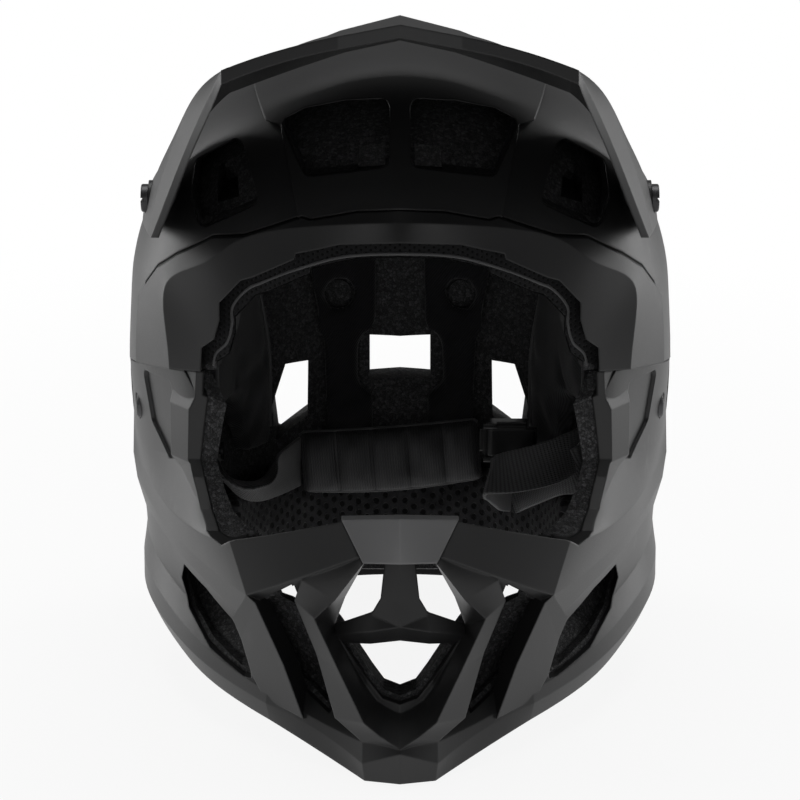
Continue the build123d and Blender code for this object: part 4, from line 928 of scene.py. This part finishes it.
@dataclass
class StrapCover:
    """The padded cover round the strap: crowned, with sewn channels across it."""

    left: tuple[float, float, float] = (-43, -59.8, 64.4)
    right: tuple[float, float, float] = (34.8, -57.2, 71)
    width: float = 0.0262
    thick: float = 0.0105
    seams: tuple[float, ...] = (0.2, 0.4, 0.6, 0.8)
    seam_depth: float = 0.42  # share of the thickness that a seam leaves
    seam_reach: float = 0.06  # share of the length over which the padding rises again
    seam_power: float = 0.6
    end_reach: float = 0.03  # share of the length over which an end rounds off
    end_depth: float = 0.35
    end_width: float = 0.9
    sag: float = 0.0016
    belly: float = 0.0008
    width_power: float = 0.62
    depth_power: float = 0.85
    creases: tuple[tuple[float, float], ...] = ((260, 0.0005), (90, 0.0007))
    cord_radius: float = 0.0008
    cord_skip: int = 3
    steps: int = 120
    corners: int = 36

    def depth_at(self, share: float) -> float:
        """How much of its full thickness the cover has at a share of its length."""
        near = min(abs(share - seam) for seam in (0.0, 1.0) + self.seams)
        rise = min(1.0, near / self.seam_reach) ** self.seam_power
        return self.seam_depth + (1.0 - self.seam_depth) * rise

    def build(self) -> None:
        """Makes the cover and the cord round its edge."""
        start, end = spot(*self.left), spot(*self.right)
        along = (end - start).normalized()
        up = (Vector((0, 0, 1)) - along * along.z).normalized()
        out = along.cross(up)
        rings = []
        for k in range(self.steps + 1):
            share = k / self.steps
            bow = math.sin(math.pi * share)
            center = start.lerp(end, share) - up * (self.sag * bow)
            depth = self.thick / 2 * self.depth_at(share)
            round_off = math.sqrt(min(1.0, share / self.end_reach, (1 - share) / self.end_reach))
            wide = self.end_width + (1.0 - self.end_width) * round_off
            half = self.width / 2 * wide + self.belly * bow
            ring = []
            for i in range(self.corners):
                angle = 2 * math.pi * i / self.corners
                c, s = math.cos(angle), math.sin(angle)
                a = math.copysign(abs(c) ** self.width_power, c) * half
                b = math.copysign(abs(s) ** self.depth_power, s) * depth
                point = center + up * a + out * (b * max(round_off, self.end_depth))
                crease = sum(noise.noise(point * scale) * high for scale, high in self.creases)
                ring.append(point + out * (crease * s))
            rings.append(ring)
        piece = new_piece("strap_cover_soft", ring_mesh("strap_cover_soft", rings))
        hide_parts("strap_cover")
        WARDROBE.put(COVER_RIBS, piece)
        for edge, corner in (("low", self.corners // 2), ("high", 0)):
            rim = [ring[corner] for ring in rings[:: self.cord_skip]]
            tube(f"cover_piping_{edge}", rim, self.cord_radius)
        LOG.info("made strap_cover_soft and its piping")


# The studio


@dataclass
class Studio:
    """White floor and backdrop, soft boxes and the camera at the photograph's place."""

    target: tuple[float, float, float] = (0.0, 0.029, 0.1067)
    distance: float = 1.25
    pitch: float = 12.0  # degrees
    lens: float = 36 * 3025 / 800
    floor_size: float = 16.0
    shadow_kept: float = 0.9  # share of plain white in the floor beside the helmet
    ambient: float = 0.1  # light of the room
    mirrored: float = 0.14  # how bright the room looks in shiny surfaces
    floor_mirrored: float = 1.0  # how much of the floor's white shows in them close by
    far_mirrored: float = 0.42  # and further off
    mirror_falls: tuple[float, float] = (0.2, 0.55)  # where it falls from one to the other
    shadow_fades: tuple[float, float] = (0.2, 1.1)

    def build(self) -> None:
        """Sets up the scene."""
        self.camera()
        self.floor()
        self.world()
        for name, place, aim, width, height, power in (
            ("top_box", (0.0, 0.1, 1.5), (0.0, 0.0, 0.12), 1.2, 0.8, 12.0),
            ("left_box", (-1.1, 0.8, 0.45), (0.0, 0.0, 0.12), 0.4, 1.2, 6.5),
            ("right_box", (1.1, 0.8, 0.45), (0.0, 0.0, 0.12), 0.4, 1.2, 6.5),
            ("front_box", (0.0, -1.7, 0.25), (0.0, 0.0, 0.12), 0.9, 0.4, 1.8),
        ):
            self.box(name, place, aim, (width, height), power)
        bpy.context.scene.view_settings.view_transform = "Standard"
        LOG.info("made the studio")

    def camera(self) -> None:
        """The camera, as far off and as high as in the photograph."""
        data = bpy.data.cameras.new("photo_camera")
        data.sensor_width = 36.0
        data.lens = self.lens
        data.clip_start, data.clip_end = 0.01, 100.0
        camera = bpy.data.objects.new("photo_camera", data)
        bpy.context.scene.collection.objects.link(camera)
        angle = math.radians(self.pitch)
        back = Vector((0.0, -math.cos(angle), math.sin(angle)))
        camera.location = Vector(self.target) + back * self.distance
        camera.rotation_euler = (-back).to_track_quat("-Z", "Y").to_euler()
        bpy.context.scene.camera = camera

    def floor(self) -> None:
        """The floor, white to the camera with the helmet's shadow kept on it."""
        half = self.floor_size / 2
        mesh = bpy.data.meshes.new("floor")
        corners = [(-half, -half, 0), (half, -half, 0), (half, half, 0), (-half, half, 0)]
        mesh.from_pydata(corners, [], [(0, 1, 2, 3)])
        floor = bpy.data.objects.new("floor", mesh)
        bpy.context.scene.collection.objects.link(floor)
        graph = Graph("studio_floor")
        graph.shader.inputs["Base Color"].default_value = (0.85, 0.85, 0.85, 1.0)
        graph.shader.inputs["Roughness"].default_value = 0.9
        graph.shader.inputs["Specular IOR Level"].default_value = 0.1
        rays = graph.add("LightPath").outputs
        seen = graph.math("MAXIMUM", rays["Is Camera Ray"], rays["Is Transmission Ray"])
        white = graph.add("Emission", {"Color": (1, 1, 1, 1), "Strength": 1.0})
        away = graph.add("VectorMath", {0: graph.place()}, operation="LENGTH").outputs["Value"]
        fall = graph.edge(away, *self.mirror_falls)
        mirrored = graph.fit(fall, self.floor_mirrored, self.far_mirrored)
        seen = graph.math("MULTIPLY_ADD", rays["Is Glossy Ray"], mirrored, seen)
        share = graph.fit(graph.edge(away, *self.shadow_fades), self.shadow_kept, 1.0)
        blend = graph.add("MixShader", {0: graph.math("MULTIPLY", seen, share)})
        graph.put(graph.shader.outputs[0], blend.inputs[1])
        graph.put(white.outputs[0], blend.inputs[2])
        graph.put(blend.outputs[0], graph.tree.nodes["Material Output"].inputs[0])
        floor.data.materials.append(graph.material)

    def world(self) -> None:
        """A white backdrop for the camera and a dim grey one for the light."""
        world = bpy.data.worlds.new("studio")
        bpy.context.scene.world = world
        world.use_nodes = True
        tree = world.node_tree
        rays = tree.nodes.new("ShaderNodeLightPath").outputs
        high = tree.nodes.new("ShaderNodeMath")
        high.operation = "MAXIMUM"
        tree.links.new(rays["Is Camera Ray"], high.inputs[0])
        tree.links.new(rays["Is Transmission Ray"], high.inputs[1])
        glossy = tree.nodes.new("ShaderNodeMath")
        glossy.operation = "MULTIPLY_ADD"
        glossy.inputs[1].default_value = self.mirrored
        tree.links.new(rays["Is Glossy Ray"], glossy.inputs[0])
        tree.links.new(high.outputs[0], glossy.inputs[2])
        dim = tree.nodes.new("ShaderNodeMath")
        dim.operation = "MAXIMUM"
        dim.inputs[1].default_value = self.ambient
        tree.links.new(glossy.outputs[0], dim.inputs[0])
        back = tree.nodes["Background"]
        back.inputs["Color"].default_value = (1.0, 1.0, 1.0, 1.0)
        tree.links.new(dim.outputs[0], back.inputs["Strength"])

    def box(
        self,
        name: str,
        place: tuple[float, float, float],
        aim: tuple[float, float, float],
        size: tuple[float, float],
        power: float,
    ) -> None:
        """A soft box.

        Args:
            name: Name of the lamp.
            place: Where it stands.
            aim: What it points at.
            size: Its width and height.
            power: Its power in watts.
        """
        data = bpy.data.lights.new(name, "AREA")
        data.shape = "RECTANGLE"
        data.size, data.size_y = size
        data.energy = power
        lamp = bpy.data.objects.new(name, data)
        bpy.context.scene.collection.objects.link(lamp)
        lamp.location = place
        lamp.rotation_euler = (Vector(aim) - Vector(place)).to_track_quat("-Z", "Y").to_euler()


def main() -> None:
    """Builds the scene in order."""
    logging.basicConfig(level=logging.INFO)
    Studio().build()
    HardParts().dress()
    Padding().build()
    ChinStrap().build()


if __name__ == "__main__":
    main()
